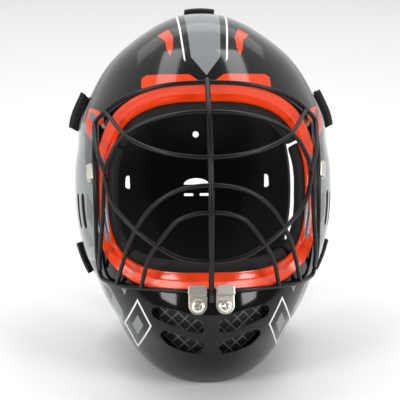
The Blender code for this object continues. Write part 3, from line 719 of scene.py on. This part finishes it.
def dress_shell(settings):
    """Sprayed shell with its recessed band, vents and ear slots."""
    bm = grid("shell", SHELL_COLUMNS, SHELL_ROWS, shell_place)
    rows = bm.verts.layers.int.new("row")
    bm.verts.ensure_lookup_table()
    for i, point in enumerate(bm.verts):
        point[rows] = i // (SHELL_COLUMNS + 1)
    for face in bm.faces:
        face.material_index = int(max(v[rows] for v in face.verts) <= BAND_ROWS)
    bmesh.ops.remove_doubles(bm, verts=bm.verts, dist=0.02 * MM)
    face_out(bm)
    lining = moulded_plastic("moulded ABS lining", BLACK_PLASTIC, 0.4, 0.9 * MM)
    colours = [tuple(tint) for tint in (settings.base, settings.accent, settings.silver)]
    paints = [shell_lacquer(*colours), band_lacquer(*colours), lining, lining]
    shell = keep(bm, "shell", paints)
    wall(shell, WALL, material_offset=2)
    settle(shell)
    holes = []
    for side in (-1, 1):
        for outline in (CHIN_VENT_UPPER, CHIN_VENT_LOWER):
            corners = [(side * x * MM, z * MM) for x, z in outline]
            holes.append(rounded_prism(corners, *CHIN_VENT_SPAN, rounding=CHIN_VENT_ROUNDING))
    for y in EAR_SLOT_PLACES:
        bm = bmesh.new()
        spot = Vector((0, y, EAR_SLOT_LEVEL))
        size = Vector((EAR_SLOT_REACH, EAR_SLOT_WIDTH, EAR_SLOT_HEIGHT))
        bmesh.ops.create_cube(bm, size=1.0, matrix=Matrix.LocRotScale(spot, None, size))
        upright = [e for e in bm.edges if abs((e.verts[0].co - e.verts[1].co).x) > 0.1]
        bmesh.ops.bevel(bm, geom=upright, offset=EAR_SLOT_WIDTH * 0.48, offset_type="OFFSET", segments=5,
                        profile=0.5, affect="EDGES", material=-1)
        holes.append(bm)
    cut(shell, holes, [floor_block()], LINING)
    soft_edge(shell, 0.7 * MM, segments=2, angle=50)
    settle(shell)
    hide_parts("front_shell")
    return shell


def wire(name, points, radius, finish, closed=False):
    """Round wire along smooth points of the mask's own frame."""
    path = seated(smooth_path(points, 2.5 * MM))
    if closed:
        path = path[:-1]
    line = bpy.data.curves.new(name, "CURVE")
    line.dimensions = "3D"
    line.bevel_depth = radius
    line.bevel_resolution = 5
    line.use_fill_caps = True
    spline = line.splines.new("POLY")
    spline.points.add(len(path) - 1)
    for spot, point in zip(spline.points, path):
        spot.co = (*point, 1)
    spline.use_cyclic_u = closed
    line.materials.append(finish)
    piece = bpy.data.objects.new(name, line)
    bpy.context.scene.collection.objects.link(piece)
    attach(piece, "root")
    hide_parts("cage")
    return piece


def off_skin(rows):
    """Points of a wire's table of azimuth, elevation and lift."""
    return [on_skin(heading(a, e), lift * MM) for a, e, lift in rows]


def mirrored_on(half):
    """A half path and its mirror image, from one side to the other."""
    return half + [Vector((-p.x, p.y, p.z)) for p in reversed(half[:-1])]


def dress_cage(settings):
    """Welded wire cage: a rim round the opening, three loops, two smiles, corner bars and an upright."""
    finish = powder_coat(BLACK_POWDER)
    radius, thick = settings.wire / 2, settings.upright / 2
    half = off_skin(RIM_WIRE)
    ring = half + [Vector((-p.x, p.y, p.z)) for p in reversed(half)][1:]
    wire("cage_rim", ring, radius, finish, closed=True)
    for name, rows in (
        ("cage_inner_loop", INNER_LOOP), ("cage_top_smile", TOP_SMILE), ("cage_bottom_smile", BOTTOM_SMILE),
        ("cage_first_arc", FIRST_ARC), ("cage_second_arc", SECOND_ARC),
    ):
        wire(name, mirrored_on(off_skin(rows)), radius, finish)
    wire("cage_upright", off_skin(UPRIGHT), thick, finish)
    for side, word in ((1, "right"), (-1, "left")):
        wire(f"cage_corner_bar_{word}", off_skin([(side * a, e, lift) for a, e, lift in CORNER_BAR]),
             radius, finish)


PAD_VOXEL = 2.2 * MM


def dress_pads(settings):
    """Foam pads: the frame's pads with rounded edges and a soft swell."""
    finish = closed_foam(BLACK_FOAM)
    for name in ("brow_pad", "cheek_pad_right", "cheek_pad_left", "chin_pad"):
        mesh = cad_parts[name].data.copy()
        bm = bmesh.new()
        bm.from_mesh(mesh)
        bmesh.ops.remove_doubles(bm, verts=bm.verts, dist=0.01 * MM)
        bm.to_mesh(mesh)
        bm.free()
        mesh.materials.clear()
        mesh.materials.append(finish)
        pad = bpy.data.objects.new(name + "_foam", mesh)
        bpy.context.scene.collection.objects.link(pad)
        fill_out = pad.modifiers.new("foam", "REMESH")
        fill_out.mode = "VOXEL"
        fill_out.voxel_size = PAD_VOXEL
        fill_out.use_smooth_shade = True
        rounder = pad.modifiers.new("rounder", "SMOOTH")
        rounder.iterations = settings.softness
        rounder.factor = 0.5
        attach(pad, "root")
        settle(pad, smooth=80)
        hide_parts(name)


BACK_SIDE_ROUNDING = 0.32
BACK_END_ROUNDING = 0.2
BACK_SLOT = ((3, 159), (12, 159), (12, 161.5), (3, 161.5))
BACK_SIDE_HOLE = ((63.5, 166), (68, 167.5), (67.5, 178), (64, 179.5))
ROUND_HOLE = (3 * MM, 218 * MM)
BACK_HOLES_FROM = 60 * MM
BACK_HOLES_TO = 150 * MM


def back_place(u, v):
    """Skin of the back plate inside its rounded outline."""
    half_azimuth, top, bottom = BACK_OUTLINE
    x, z = 2 * u - 1, 2 * v - 1
    azimuth = 180 + half_azimuth * x * math.sqrt(1 - BACK_SIDE_ROUNDING * z * z)
    elevation = (top + bottom) / 2 + (top - bottom) / 2 * z * math.sqrt(1 - BACK_END_ROUNDING * x * x)
    return on_skin(heading(azimuth, elevation))


def dress_back_plate():
    """Moulded cup behind the head, with its holes and softened rim."""
    bm = grid("back plate", 72, 84, back_place)
    face_out(bm)
    plate = keep(bm, "back_cup", [moulded_plastic("moulded polyethylene", BLACK_PLASTIC, 0.42, 1.1 * MM)])
    wall(plate, BACK_WALL)
    settle(plate)
    span = (BACK_HOLES_FROM, BACK_HOLES_TO)
    width, level, height = DOME_HOLE
    half_turn = [math.pi * i / 20 for i in range(21)]
    dome = [(width * math.cos(t), level + height * math.sin(t)) for t in half_turn]
    radius, middle = ROUND_HOLE
    full_turn = [math.tau * i / 32 for i in range(32)]
    ring = [(radius * math.cos(t), middle + radius * math.sin(t)) for t in full_turn]
    holes = [rounded_prism(dome, *span), rounded_prism(ring, *span)]
    for side in (-1, 1):
        for outline, rounding in ((BACK_SLOT, 0.9 * MM), (BACK_SIDE_HOLE, 1.6 * MM)):
            corners = [(side * x * MM, z * MM) for x, z in outline]
            holes.append(rounded_prism(corners, *span, rounding=rounding))
    cut(plate, holes, [floor_block()])
    soft_edge(plate, 0.6 * MM, segments=2, angle=50)
    settle(plate)
    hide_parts("back_plate")


STRAP_COLUMNS = 120
FOLD_SHARE = 0.16
FOLD_BEND = 0.3
FOLD_BULGE = 0.02
FOLD_DROOP = 0.25
SIDE_STRAP_SIZE = (150 * MM, 30 * MM)
TOP_STRAP_SIZE = (130 * MM, 26 * MM)
SEWN_IN = 0.6 * MM
THREAD_RADIUS = 0.35 * MM
STITCH_LENGTH = 2.6 * MM
STITCH_ROWS = (0.105, 0.118)
STITCHES_EACH_WAY = 4
STITCH_LIFT = 0.86


def strap_route(share, fold):
    """Share along a strap and height over it: along the skin, round the buckle bar and back over itself."""
    flat = 1 - FOLD_SHARE / 2
    if share < flat:
        return 1 - share / flat, 0.0
    turn = (share - flat) / (1 - flat)
    if turn < FOLD_BEND:
        bend = math.pi * (turn / FOLD_BEND - 0.5)
        return -FOLD_BULGE * math.cos(bend), fold * (0.5 + 0.5 * math.sin(bend))
    back = (turn - FOLD_BEND) / (1 - FOLD_BEND)
    return FOLD_SHARE * back, fold * (1 - FOLD_DROOP * back * back)


def strap(name, way, size, fold, finish, node):
    """Webbing band along way(share, across), its near end folded over by a height in metres."""
    def place(u, v):
        share, rise = strap_route(u, fold)
        return on_skin(way(share, 2 * v - 1), STRAP_LIFT + STRAP_THICKNESS / 2 + rise)

    bm = grid(name, STRAP_COLUMNS, 10, place, across=size)
    piece = keep(bm, name, [finish], smooth=60)
    wall(piece, STRAP_THICKNESS * 0.8, offset=0.0)
    soft_edge(piece, 0.35 * MM, segments=2, angle=60)
    settle(piece, smooth=60)
    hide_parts(node)
    return piece


def stitches(name, way, fold, finish):
    """Row of bar tack stitches across a strap's folded end."""
    bm = bmesh.new()
    size = Vector((THREAD_RADIUS, THREAD_RADIUS, STITCH_LENGTH / 2))
    rise = STRAP_LIFT + STRAP_THICKNESS + fold * STITCH_LIFT
    for row in STITCH_ROWS:
        for i in range(-STITCHES_EACH_WAY, STITCHES_EACH_WAY + 1):
            spot = on_skin(way(row, i / 5), rise)
            along_row = (on_skin(way(row, i / 5 + 0.05), rise) - spot).normalized()
            turn = along_row.to_track_quat("Z", "Y")
            lean = Matrix.LocRotScale(spot, turn, size)
            bmesh.ops.create_icosphere(bm, subdivisions=2, radius=1.0, matrix=lean)
    piece = keep(bm, name, [finish])


def dress_straps():
    """Elastic straps from the shell to the back cup, with folded and stitched ends."""
    finish = elastic_webbing(BLACK_YARN)
    thread = moulded_plastic("waxed thread", DARK_GREY, 0.6, 0.5 * MM)
    first, last = SIDE_STRAP_RANGE
    for level, (low, high) in SIDE_STRAP_LEVELS.items():
        for side, word in ((1, "right"), (-1, "left")):
            def way(share, across, side=side, low=low, high=high):
                azimuth = first + (last - first) * share
                return heading(side * azimuth, (low + high) / 2 + (high - low) / 2 * across)

            name = f"strap_{level}_{word}"
            strap(name + "_webbing", way, SIDE_STRAP_SIZE, STRAP_FOLDS[level] - SEWN_IN, finish, name)
            stitches(name + "_stitches", way, STRAP_FOLDS[level], thread)

    def top_way(share, across):
        first, last = TOP_STRAP_RANGE
        t = math.radians(first + (last - first) * share)
        swing = math.radians(TOP_STRAP_HALF_WIDTH * across)
        return Vector((math.sin(swing), -math.cos(t) * math.cos(swing), math.sin(t) * math.cos(swing)))

    strap("strap_top_webbing", top_way, TOP_STRAP_SIZE, TOP_FOLD, finish, "strap_top")
    stitches("strap_top_stitches", top_way, TOP_FOLD, thread)


# Clips and screws
GAP = 0.3 * MM
CLIP_METAL = 1.5 * MM
CHIN_CLIP_SIZE = (14.6 * MM, 20 * MM)
CHIN_CLIP_AZIMUTH = 4.8
CHIN_CLIP_ELEVATION = -31.1
SIDE_CLIP_SIZE = (13 * MM, 13 * MM)
SIDE_CLIP_HEADING = (48.0, 9.0)
SIDE_CLIP_ROUND = 2.5 * MM
CLIP_CLEAR = 0.7 * MM
HOOK_SHARE = 0.7
FOOT_ROUNDING = 0.92
TOP_ROUND = 0.35
SCREW_RADIUS = 5.6 * MM
SCREW_HEIGHT = 2.4 * MM
PAN_HEAD = (
    # shares of the radius and of the height, from the rim to the crown
    (0.96, 0), (1, 0.2), (0.98, 0.42), (0.88, 0.7), (0.66, 0.9), (0.35, 0.98), (0, 1),
)
RECESS_TURN = 0.35
RECESS_LENGTH = SCREW_RADIUS * 1.15
RECESS_WIDTH = SCREW_RADIUS * 0.2
RECESS_LEVEL = 0.95
SCREW_LEVEL = 0.66
SCREW_GAP = 0.1 * MM
WIRE_RADIUS = 1.8 * MM


def clip_line(length):
    """Middle line of a clip's metal from its foot up and over the wire, as (out, up) points."""
    hook = WIRE_RADIUS + GAP + CLIP_METAL
    over = 2 * WIRE_RADIUS + 4 * GAP + CLIP_METAL / 2
    foot = CLIP_METAL / 2
    return [Vector((foot, -length)), Vector((foot, -hook - CLIP_METAL / 2)),
            Vector((over, -hook - CLIP_METAL / 2)), Vector((over, hook * HOOK_SHARE))]


def bent(line, share):
    """Point at a share of a line's length."""
    lengths = [(b - a).length for a, b in zip(line, line[1:])]
    goal = share * sum(lengths)
    for (a, b), length in zip(zip(line, line[1:]), lengths):
        if goal <= length or b is line[-1]:
            return a.lerp(b, min(goal / length, 1))
        goal -= length


def clip(name, origin, out, up, size, foot_round, finish):
    """Bent strip of stainless steel, its foot rounded, hooked over the wire at its origin."""
    width, length = size
    across = out.cross(up).normalized()
    line = clip_line(length)
    start, end = line[0].y, line[-1].y

    def place(u, v):
        spot = bent(line, v)
        near_foot = min((spot.y - start) / foot_round, 1)
        half = width / 2 * math.sqrt(max(1 - (1 - near_foot) ** 2 * FOOT_ROUNDING, 0))
        near_top = min((end - spot.y) / (foot_round * TOP_ROUND) + TOP_ROUND, 1) if spot.x > CLIP_METAL else 1
        half *= math.sqrt(max(1 - (1 - near_top) ** 2, 0))
        return origin + out * spot.x + up * spot.y + across * (2 * u - 1) * half

    bm = grid(name, 12, 48, place)
    bmesh.ops.recalc_face_normals(bm, faces=bm.faces)
    piece = keep(bm, name + "_plate", [finish], smooth=35)
    wall(piece, CLIP_METAL, offset=0.0)
    soft_edge(piece, 0.35 * MM, segments=3, angle=35)
    settle(piece, smooth=35)
    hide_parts(name)


def screw(name, place, out, finish):
    """Pan head with a rounded crown and a cross recess."""
    turn = out.to_track_quat("Z", "Y")
    bm = bmesh.new()
    points = [bm.verts.new((radius * SCREW_RADIUS, 0, height * SCREW_HEIGHT)) for radius, height in PAN_HEAD]
    edges = [bm.edges.new(pair) for pair in zip(points, points[1:])]
    bmesh.ops.spin(bm, geom=points + edges, cent=(0, 0, 0), axis=(0, 0, 1), angle=math.tau, steps=48,
                   use_merge=True)
    bmesh.ops.remove_doubles(bm, verts=bm.verts, dist=0.005 * MM)
    bmesh.ops.holes_fill(bm, edges=[e for e in bm.edges if e.is_boundary], sides=0)
    bmesh.ops.recalc_face_normals(bm, faces=bm.faces)
    lean = Matrix.LocRotScale(place, turn, None)
    bm.transform(lean)
    piece = keep(bm, name + "_head", [finish], smooth=35)
    slots = []
    size = Matrix.Diagonal(Vector((RECESS_LENGTH, RECESS_WIDTH, SCREW_HEIGHT, 1)))
    lift = Matrix.Translation(Vector((0, 0, SCREW_HEIGHT * RECESS_LEVEL)))
    for quarter in (RECESS_TURN, RECESS_TURN + math.pi / 2):
        slot = bmesh.new()
        bmesh.ops.create_cube(slot, size=1.0, matrix=lean @ Matrix.Rotation(quarter, 4, "Z") @ lift @ size)
        slots.append(slot)
    cut(piece, slots)
    soft_edge(piece, 0.12 * MM, segments=2, angle=35)
    settle(piece, smooth=35)
    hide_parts(name)


def dress_clips():
    """Bright clips at the chin and the sides, and the screws that hold the chin clips."""
    finish = stainless_steel(STAINLESS)
    for side, word in ((1, "right"), (-1, "left")):
        way = heading(side * CHIN_CLIP_AZIMUTH, CHIN_CLIP_ELEVATION)
        here, out, up = skin_frame(way, Vector((0, 0, 1)))
        base = here + out * CLIP_CLEAR
        clip(f"chin_clip_{word}", base, out, up, CHIN_CLIP_SIZE, CHIN_CLIP_SIZE[0] / 2, finish)
        head = base + out * (CLIP_METAL + SCREW_GAP) - up * (CHIN_CLIP_SIZE[1] * SCREW_LEVEL)
        screw(f"chin_screw_{word}", head, out, finish)
        azimuth, elevation = SIDE_CLIP_HEADING
        here, out, up = skin_frame(heading(side * azimuth, elevation), Vector((-side, 0, 0)))
        clip(f"side_clip_{word}", here + out * CLIP_CLEAR, out, up, SIDE_CLIP_SIZE, SIDE_CLIP_ROUND, finish)


# Lattice behind the chin vents, and a sheet of painted shade behind it
MESH_PITCH = 7.4 * MM
MESH_BAR = 1.0 * MM
MESH_THICKNESS = 0.9 * MM
SHADE_SHEET_THICKNESS = 0.3 * MM
MESH_DEPTH = WALL + 4.5 * MM
MESH_MIDDLE = (26 * MM, 50 * MM)
MESH_SIZE = (46 * MM, 48 * MM)


def behind_chin(x, z, depth):
    """Point with this x and z that lies at a depth inside the skin."""
    near, far = -2 * HALF_WIDTH, 0.0
    for _ in range(22):
        y = (near + far) / 2
        spot = Vector((x, y, z)) - MIDDLE
        if spot.length > reach(spot.normalized()) - depth:
            near = y
        else:
            far = y
    return Vector((x, y, z))


def dress_vent_mesh(settings):
    """Diamond lattice behind the chin vents, with a guessed black sheet of painted shade behind it that keeps
    the vents black.
    """
    finish = moulded_plastic("moulded nylon lattice", LATTICE_GREY, 0.32, 0.8 * MM)
    # Painted shade: a black sheet behind the lattice stands in for the darkness inside the chin
    shade_sheet_finish = moulded_plastic("black sheet of painted shade", BLACK_PLASTIC, 0.7, 0.8 * MM)
    wide, high = MESH_SIZE
    for side, word in ((1, "right"), (-1, "left")):
        bm = bmesh.new()
        count = math.ceil((wide + high) / math.sqrt(2) / settings.pitch)
        bmesh.ops.create_grid(bm, x_segments=count, y_segments=count, size=count * settings.pitch / 2)
        bmesh.ops.rotate(bm, verts=bm.verts, matrix=Matrix.Rotation(math.pi / 4, 3, "Z"))
        outside = [f for f in bm.faces if abs(f.calc_center_median().x) > wide / 2
                   or abs(f.calc_center_median().y) > high / 2]
        bmesh.ops.delete(bm, geom=outside, context="FACES")
        bmesh.ops.inset_individual(bm, faces=bm.faces, thickness=MESH_BAR / 2, use_even_offset=True)
        cells = [f for f in bm.faces if all(len(e.link_faces) == 2 for e in f.edges)
                 and len({round(e.calc_length(), 6) for e in f.edges}) == 1]
        bmesh.ops.delete(bm, geom=cells, context="FACES")
        for point in bm.verts:
            x = side * (MESH_MIDDLE[0] + point.co.x)
            point.co = behind_chin(x, MESH_MIDDLE[1] + point.co.y, MESH_DEPTH)
        face_out(bm)
        mesh = keep(bm, f"vent_lattice_{word}", [finish], smooth=50)
        wall(mesh, MESH_THICKNESS)
        settle(mesh, smooth=50)
        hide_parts(f"vent_mesh_{word}")

        # Painted shade: the black sheet sits just behind the lattice
        def shade_sheet_place(u, v, side=side):
            x, z = MESH_MIDDLE[0] + (u - 0.5) * wide, MESH_MIDDLE[1] + (v - 0.5) * high
            return behind_chin(side * x, z, MESH_DEPTH + MESH_THICKNESS)

        bm = grid("shade_sheet", 14, 14, shade_sheet_place)
        face_out(bm)
        shade_sheet = keep(bm, f"vent_shade_sheet_{word}", [shade_sheet_finish], smooth=50)
        wall(shade_sheet, SHADE_SHEET_THICKNESS)
        settle(shade_sheet, smooth=50)
        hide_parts(f"vent_mesh_{word}")


# Studio
CAMERA_POINT = Vector((-61 * MM, -1298.6 * MM, 155 * MM))
CAMERA_AIM = Vector((-2.2 * MM, 0, 155 * MM))
FLOOR_SIZE = 30.0
WORLD_FRONT = 0.12
WORLD_BACK = 1.0
SIDE_BOX = (1.0, -1.05, 0.8)
SIDE_BOX_SIZE = (0.48, 0.64)
TOP_BOXES = (
    # x, width, depth
    (-0.55, 0.85, 0.4), (0.55, 0.7, 0.4),
)
TOP_BOX_PLACE = (0.22, 1.65)
FLOOR_BOX = ((0, 1.5, 1.5), (0, 1.5, 0), (2.4, 1.0))


def softbox(name, place, aim, size, power):
    """Rectangular area light pointed at the mask."""
    lamp = bpy.data.lights.new(name, "AREA")
    lamp.shape = "RECTANGLE"
    lamp.size, lamp.size_y = size
    lamp.energy = power
    holder = bpy.data.objects.new(name, lamp)
    bpy.context.scene.collection.objects.link(holder)
    turn = (Vector(aim) - Vector(place)).to_track_quat("-Z", "Y")
    holder.matrix_world = Matrix.LocRotScale(Vector(place), turn, None)


def build_stage(settings):
    """Pale floor, white surround, softboxes and the camera at the photograph's angle."""
    made, tree, shader = start_material("matt white floor", FLOOR_WHITE, 0.7)
    place = add(tree, "ShaderNodeTexCoord").outputs["Object"]
    tree.links.new(spread(tree, noise(tree, place, 0.3), 0.6, 0.8), shader.inputs["Roughness"])
    bm = bmesh.new()
    bmesh.ops.create_grid(bm, x_segments=1, y_segments=1, size=FLOOR_SIZE / 2)
    mesh = bpy.data.meshes.new("floor")
    bm.to_mesh(mesh)
    bm.free()
    mesh.materials.append(made)
    ground = bpy.data.objects.new("floor", mesh)
    bpy.context.scene.collection.objects.link(ground)

    world = bpy.data.worlds.new("white surround")
    bpy.context.scene.world = world
    world.use_nodes = True
    tree = world.node_tree
    way = add(tree, "ShaderNodeSeparateXYZ", {"Vector": add(tree, "ShaderNodeTexCoord").outputs["Generated"]})
    glow = add(tree, "ShaderNodeMapRange", {"Value": way.outputs["Y"], "From Min": -0.1, "From Max": 0.25,
                                            "To Min": WORLD_FRONT, "To Max": WORLD_BACK}).outputs[0]
    back = tree.nodes["Background"]
    back.inputs["Color"].default_value = (1, 1, 1, 1)
    tree.links.new(glow, back.inputs["Strength"])
    bpy.context.scene.view_settings.view_transform = "Standard"

    x, y, z = SIDE_BOX
    for side, word in ((-1, "left"), (1, "right")):
        softbox(f"softbox_{word}", (side * x, y, z), (0, 0, 0.15), SIDE_BOX_SIZE, settings.lamp_power)
    for x, width, depth in TOP_BOXES:
        place = (x, *TOP_BOX_PLACE)
        softbox("softbox_above", place, (0, 0, 0.15), (width, depth), settings.top_power)
    softbox("softbox_floor", *FLOOR_BOX, settings.floor_power)

    camera = bpy.data.cameras.new("camera")
    camera.lens = settings.lens / MM
    camera.sensor_width = 36
    camera.sensor_fit = "HORIZONTAL"
    camera.clip_start = 0.05
    holder = bpy.data.objects.new("camera", camera)
    bpy.context.scene.collection.objects.link(holder)
    spot, aim = SEAT @ CAMERA_POINT, SEAT @ CAMERA_AIM
    holder.matrix_world = Matrix.LocRotScale(spot, (aim - spot).to_track_quat("-Z", "Y"), None)
    bpy.context.scene.camera = holder


# Settings
def paint_property(name, description, default):
    return FloatVectorProperty(name=name, description=description, subtype="COLOR", size=3, min=0, max=1,
                               default=default)


class MaskShellSettings(bpy.types.PropertyGroup):
    base: paint_property("Base", "Lacquer over the whole shell", BLACK_LACQUER)
    accent: paint_property("Accent", "Lacquer of the band and the bright shapes", SIGNAL_ORANGE)
    silver: paint_property("Silver", "Lacquer of the light facets", SILVER)


class MaskCageSettings(bpy.types.PropertyGroup):
    wire: FloatProperty(name="Wire", description="Diameter of the cage's wires", default=3.6 * MM,
                        min=2 * MM, max=4 * MM, unit="LENGTH", precision=4)
    upright: FloatProperty(name="Upright", description="Diameter of the wire down the middle",
                           default=4.4 * MM, min=3 * MM, max=5 * MM, unit="LENGTH", precision=4)


class MaskPadSettings(bpy.types.PropertyGroup):
    softness: IntProperty(name="Softness", description="Rounds of smoothing on the foam's edges", default=8,
                          min=0, max=30)


class MaskMeshSettings(bpy.types.PropertyGroup):
    pitch: FloatProperty(name="Pitch", description="Spacing of the lattice behind the chin vents",
                         default=MESH_PITCH, min=3 * MM, max=9 * MM, unit="LENGTH", precision=4)


class MaskStageSettings(bpy.types.PropertyGroup):
    lens: FloatProperty(name="Lens", description="Focal length of the camera", default=133.4 * MM, min=0.05,
                        max=0.3, unit="LENGTH", precision=4)
    lamp_power: FloatProperty(name="Softbox power", description="Power of each front softbox in watts",
                              default=11.0, min=0, max=200)
    top_power: FloatProperty(name="Top power", description="Power of each softbox above in watts",
                             default=6.0, min=0, max=200)
    floor_power: FloatProperty(name="Floor power", description="Power of the softbox over the floor behind",
                               default=8.0, min=0, max=200)


# Operators
class MASK_OT_shell(bpy.types.Operator):
    """Sprayed front shell with its recessed band and holes"""
    bl_idname = "mask.shell"
    bl_label = "Front shell"

    def execute(self, context):
        dress_shell(context.scene.mask_shell)
        return {"FINISHED"}


class MASK_OT_cage(bpy.types.Operator):
    """Powder coated wire cage over the face opening"""
    bl_idname = "mask.cage"
    bl_label = "Cage"

    def execute(self, context):
        dress_cage(context.scene.mask_cage)
        return {"FINISHED"}


class MASK_OT_pads(bpy.types.Operator):
    """Foam pads inside the shell"""
    bl_idname = "mask.pads"
    bl_label = "Pads"

    def execute(self, context):
        dress_pads(context.scene.mask_pads)
        return {"FINISHED"}


class MASK_OT_back_cup(bpy.types.Operator):
    """Moulded cup behind the head"""
    bl_idname = "mask.back_cup"
    bl_label = "Back cup"

    def execute(self, context):
        dress_back_plate()
        return {"FINISHED"}


class MASK_OT_straps(bpy.types.Operator):
    """Elastic straps with their folded ends and stitches"""
    bl_idname = "mask.straps"
    bl_label = "Straps"

    def execute(self, context):
        dress_straps()
        return {"FINISHED"}


class MASK_OT_clips(bpy.types.Operator):
    """Stainless clips and screws that hold the cage"""
    bl_idname = "mask.clips"
    bl_label = "Clips and screws"

    def execute(self, context):
        dress_clips()
        return {"FINISHED"}


class MASK_OT_lattice(bpy.types.Operator):
    """Lattice behind the chin vents"""
    bl_idname = "mask.lattice"
    bl_label = "Vent lattice"

    def execute(self, context):
        dress_vent_mesh(context.scene.mask_mesh)
        return {"FINISHED"}


class MASK_OT_stage(bpy.types.Operator):
    """Floor, light and camera"""
    bl_idname = "mask.stage"
    bl_label = "Stage"

    def execute(self, context):
        build_stage(context.scene.mask_stage)
        return {"FINISHED"}


OPERATORS = (MASK_OT_shell, MASK_OT_cage, MASK_OT_pads, MASK_OT_back_cup, MASK_OT_straps, MASK_OT_clips,
             MASK_OT_lattice, MASK_OT_stage)
SETTINGS = (
    ("mask_shell", MaskShellSettings), ("mask_cage", MaskCageSettings), ("mask_pads", MaskPadSettings),
    ("mask_mesh", MaskMeshSettings), ("mask_stage", MaskStageSettings),
)


class MASK_PT_panel(bpy.types.Panel):
    """Sizes, colours and pieces of the mask"""
    bl_label = "Goalie mask"
    bl_idname = "MASK_PT_panel"
    bl_space_type = "VIEW_3D"
    bl_region_type = "UI"
    bl_category = "Mask"

    def draw(self, context):
        for name, group in SETTINGS:
            box = self.layout.box()
            for setting in group.__annotations__:
                box.prop(getattr(context.scene, name), setting)
        for operator in OPERATORS:
            self.layout.operator(operator.bl_idname)


def register():
    for name, group in SETTINGS:
        bpy.utils.register_class(group)
        setattr(bpy.types.Scene, name, PointerProperty(type=group))
    for operator in OPERATORS:
        bpy.utils.register_class(operator)
    bpy.utils.register_class(MASK_PT_panel)


def unregister():
    bpy.utils.unregister_class(MASK_PT_panel)
    for operator in reversed(OPERATORS):
        bpy.utils.unregister_class(operator)
    for name, group in reversed(SETTINGS):
        delattr(bpy.types.Scene, name)
        bpy.utils.unregister_class(group)


def main():
    register()
    bpy.ops.mask.stage()
    bpy.ops.mask.shell()
    bpy.ops.mask.cage()
    bpy.ops.mask.pads()
    bpy.ops.mask.back_cup()
    bpy.ops.mask.straps()
    bpy.ops.mask.clips()
    bpy.ops.mask.lattice()


if __name__ == "__main__":
    main()
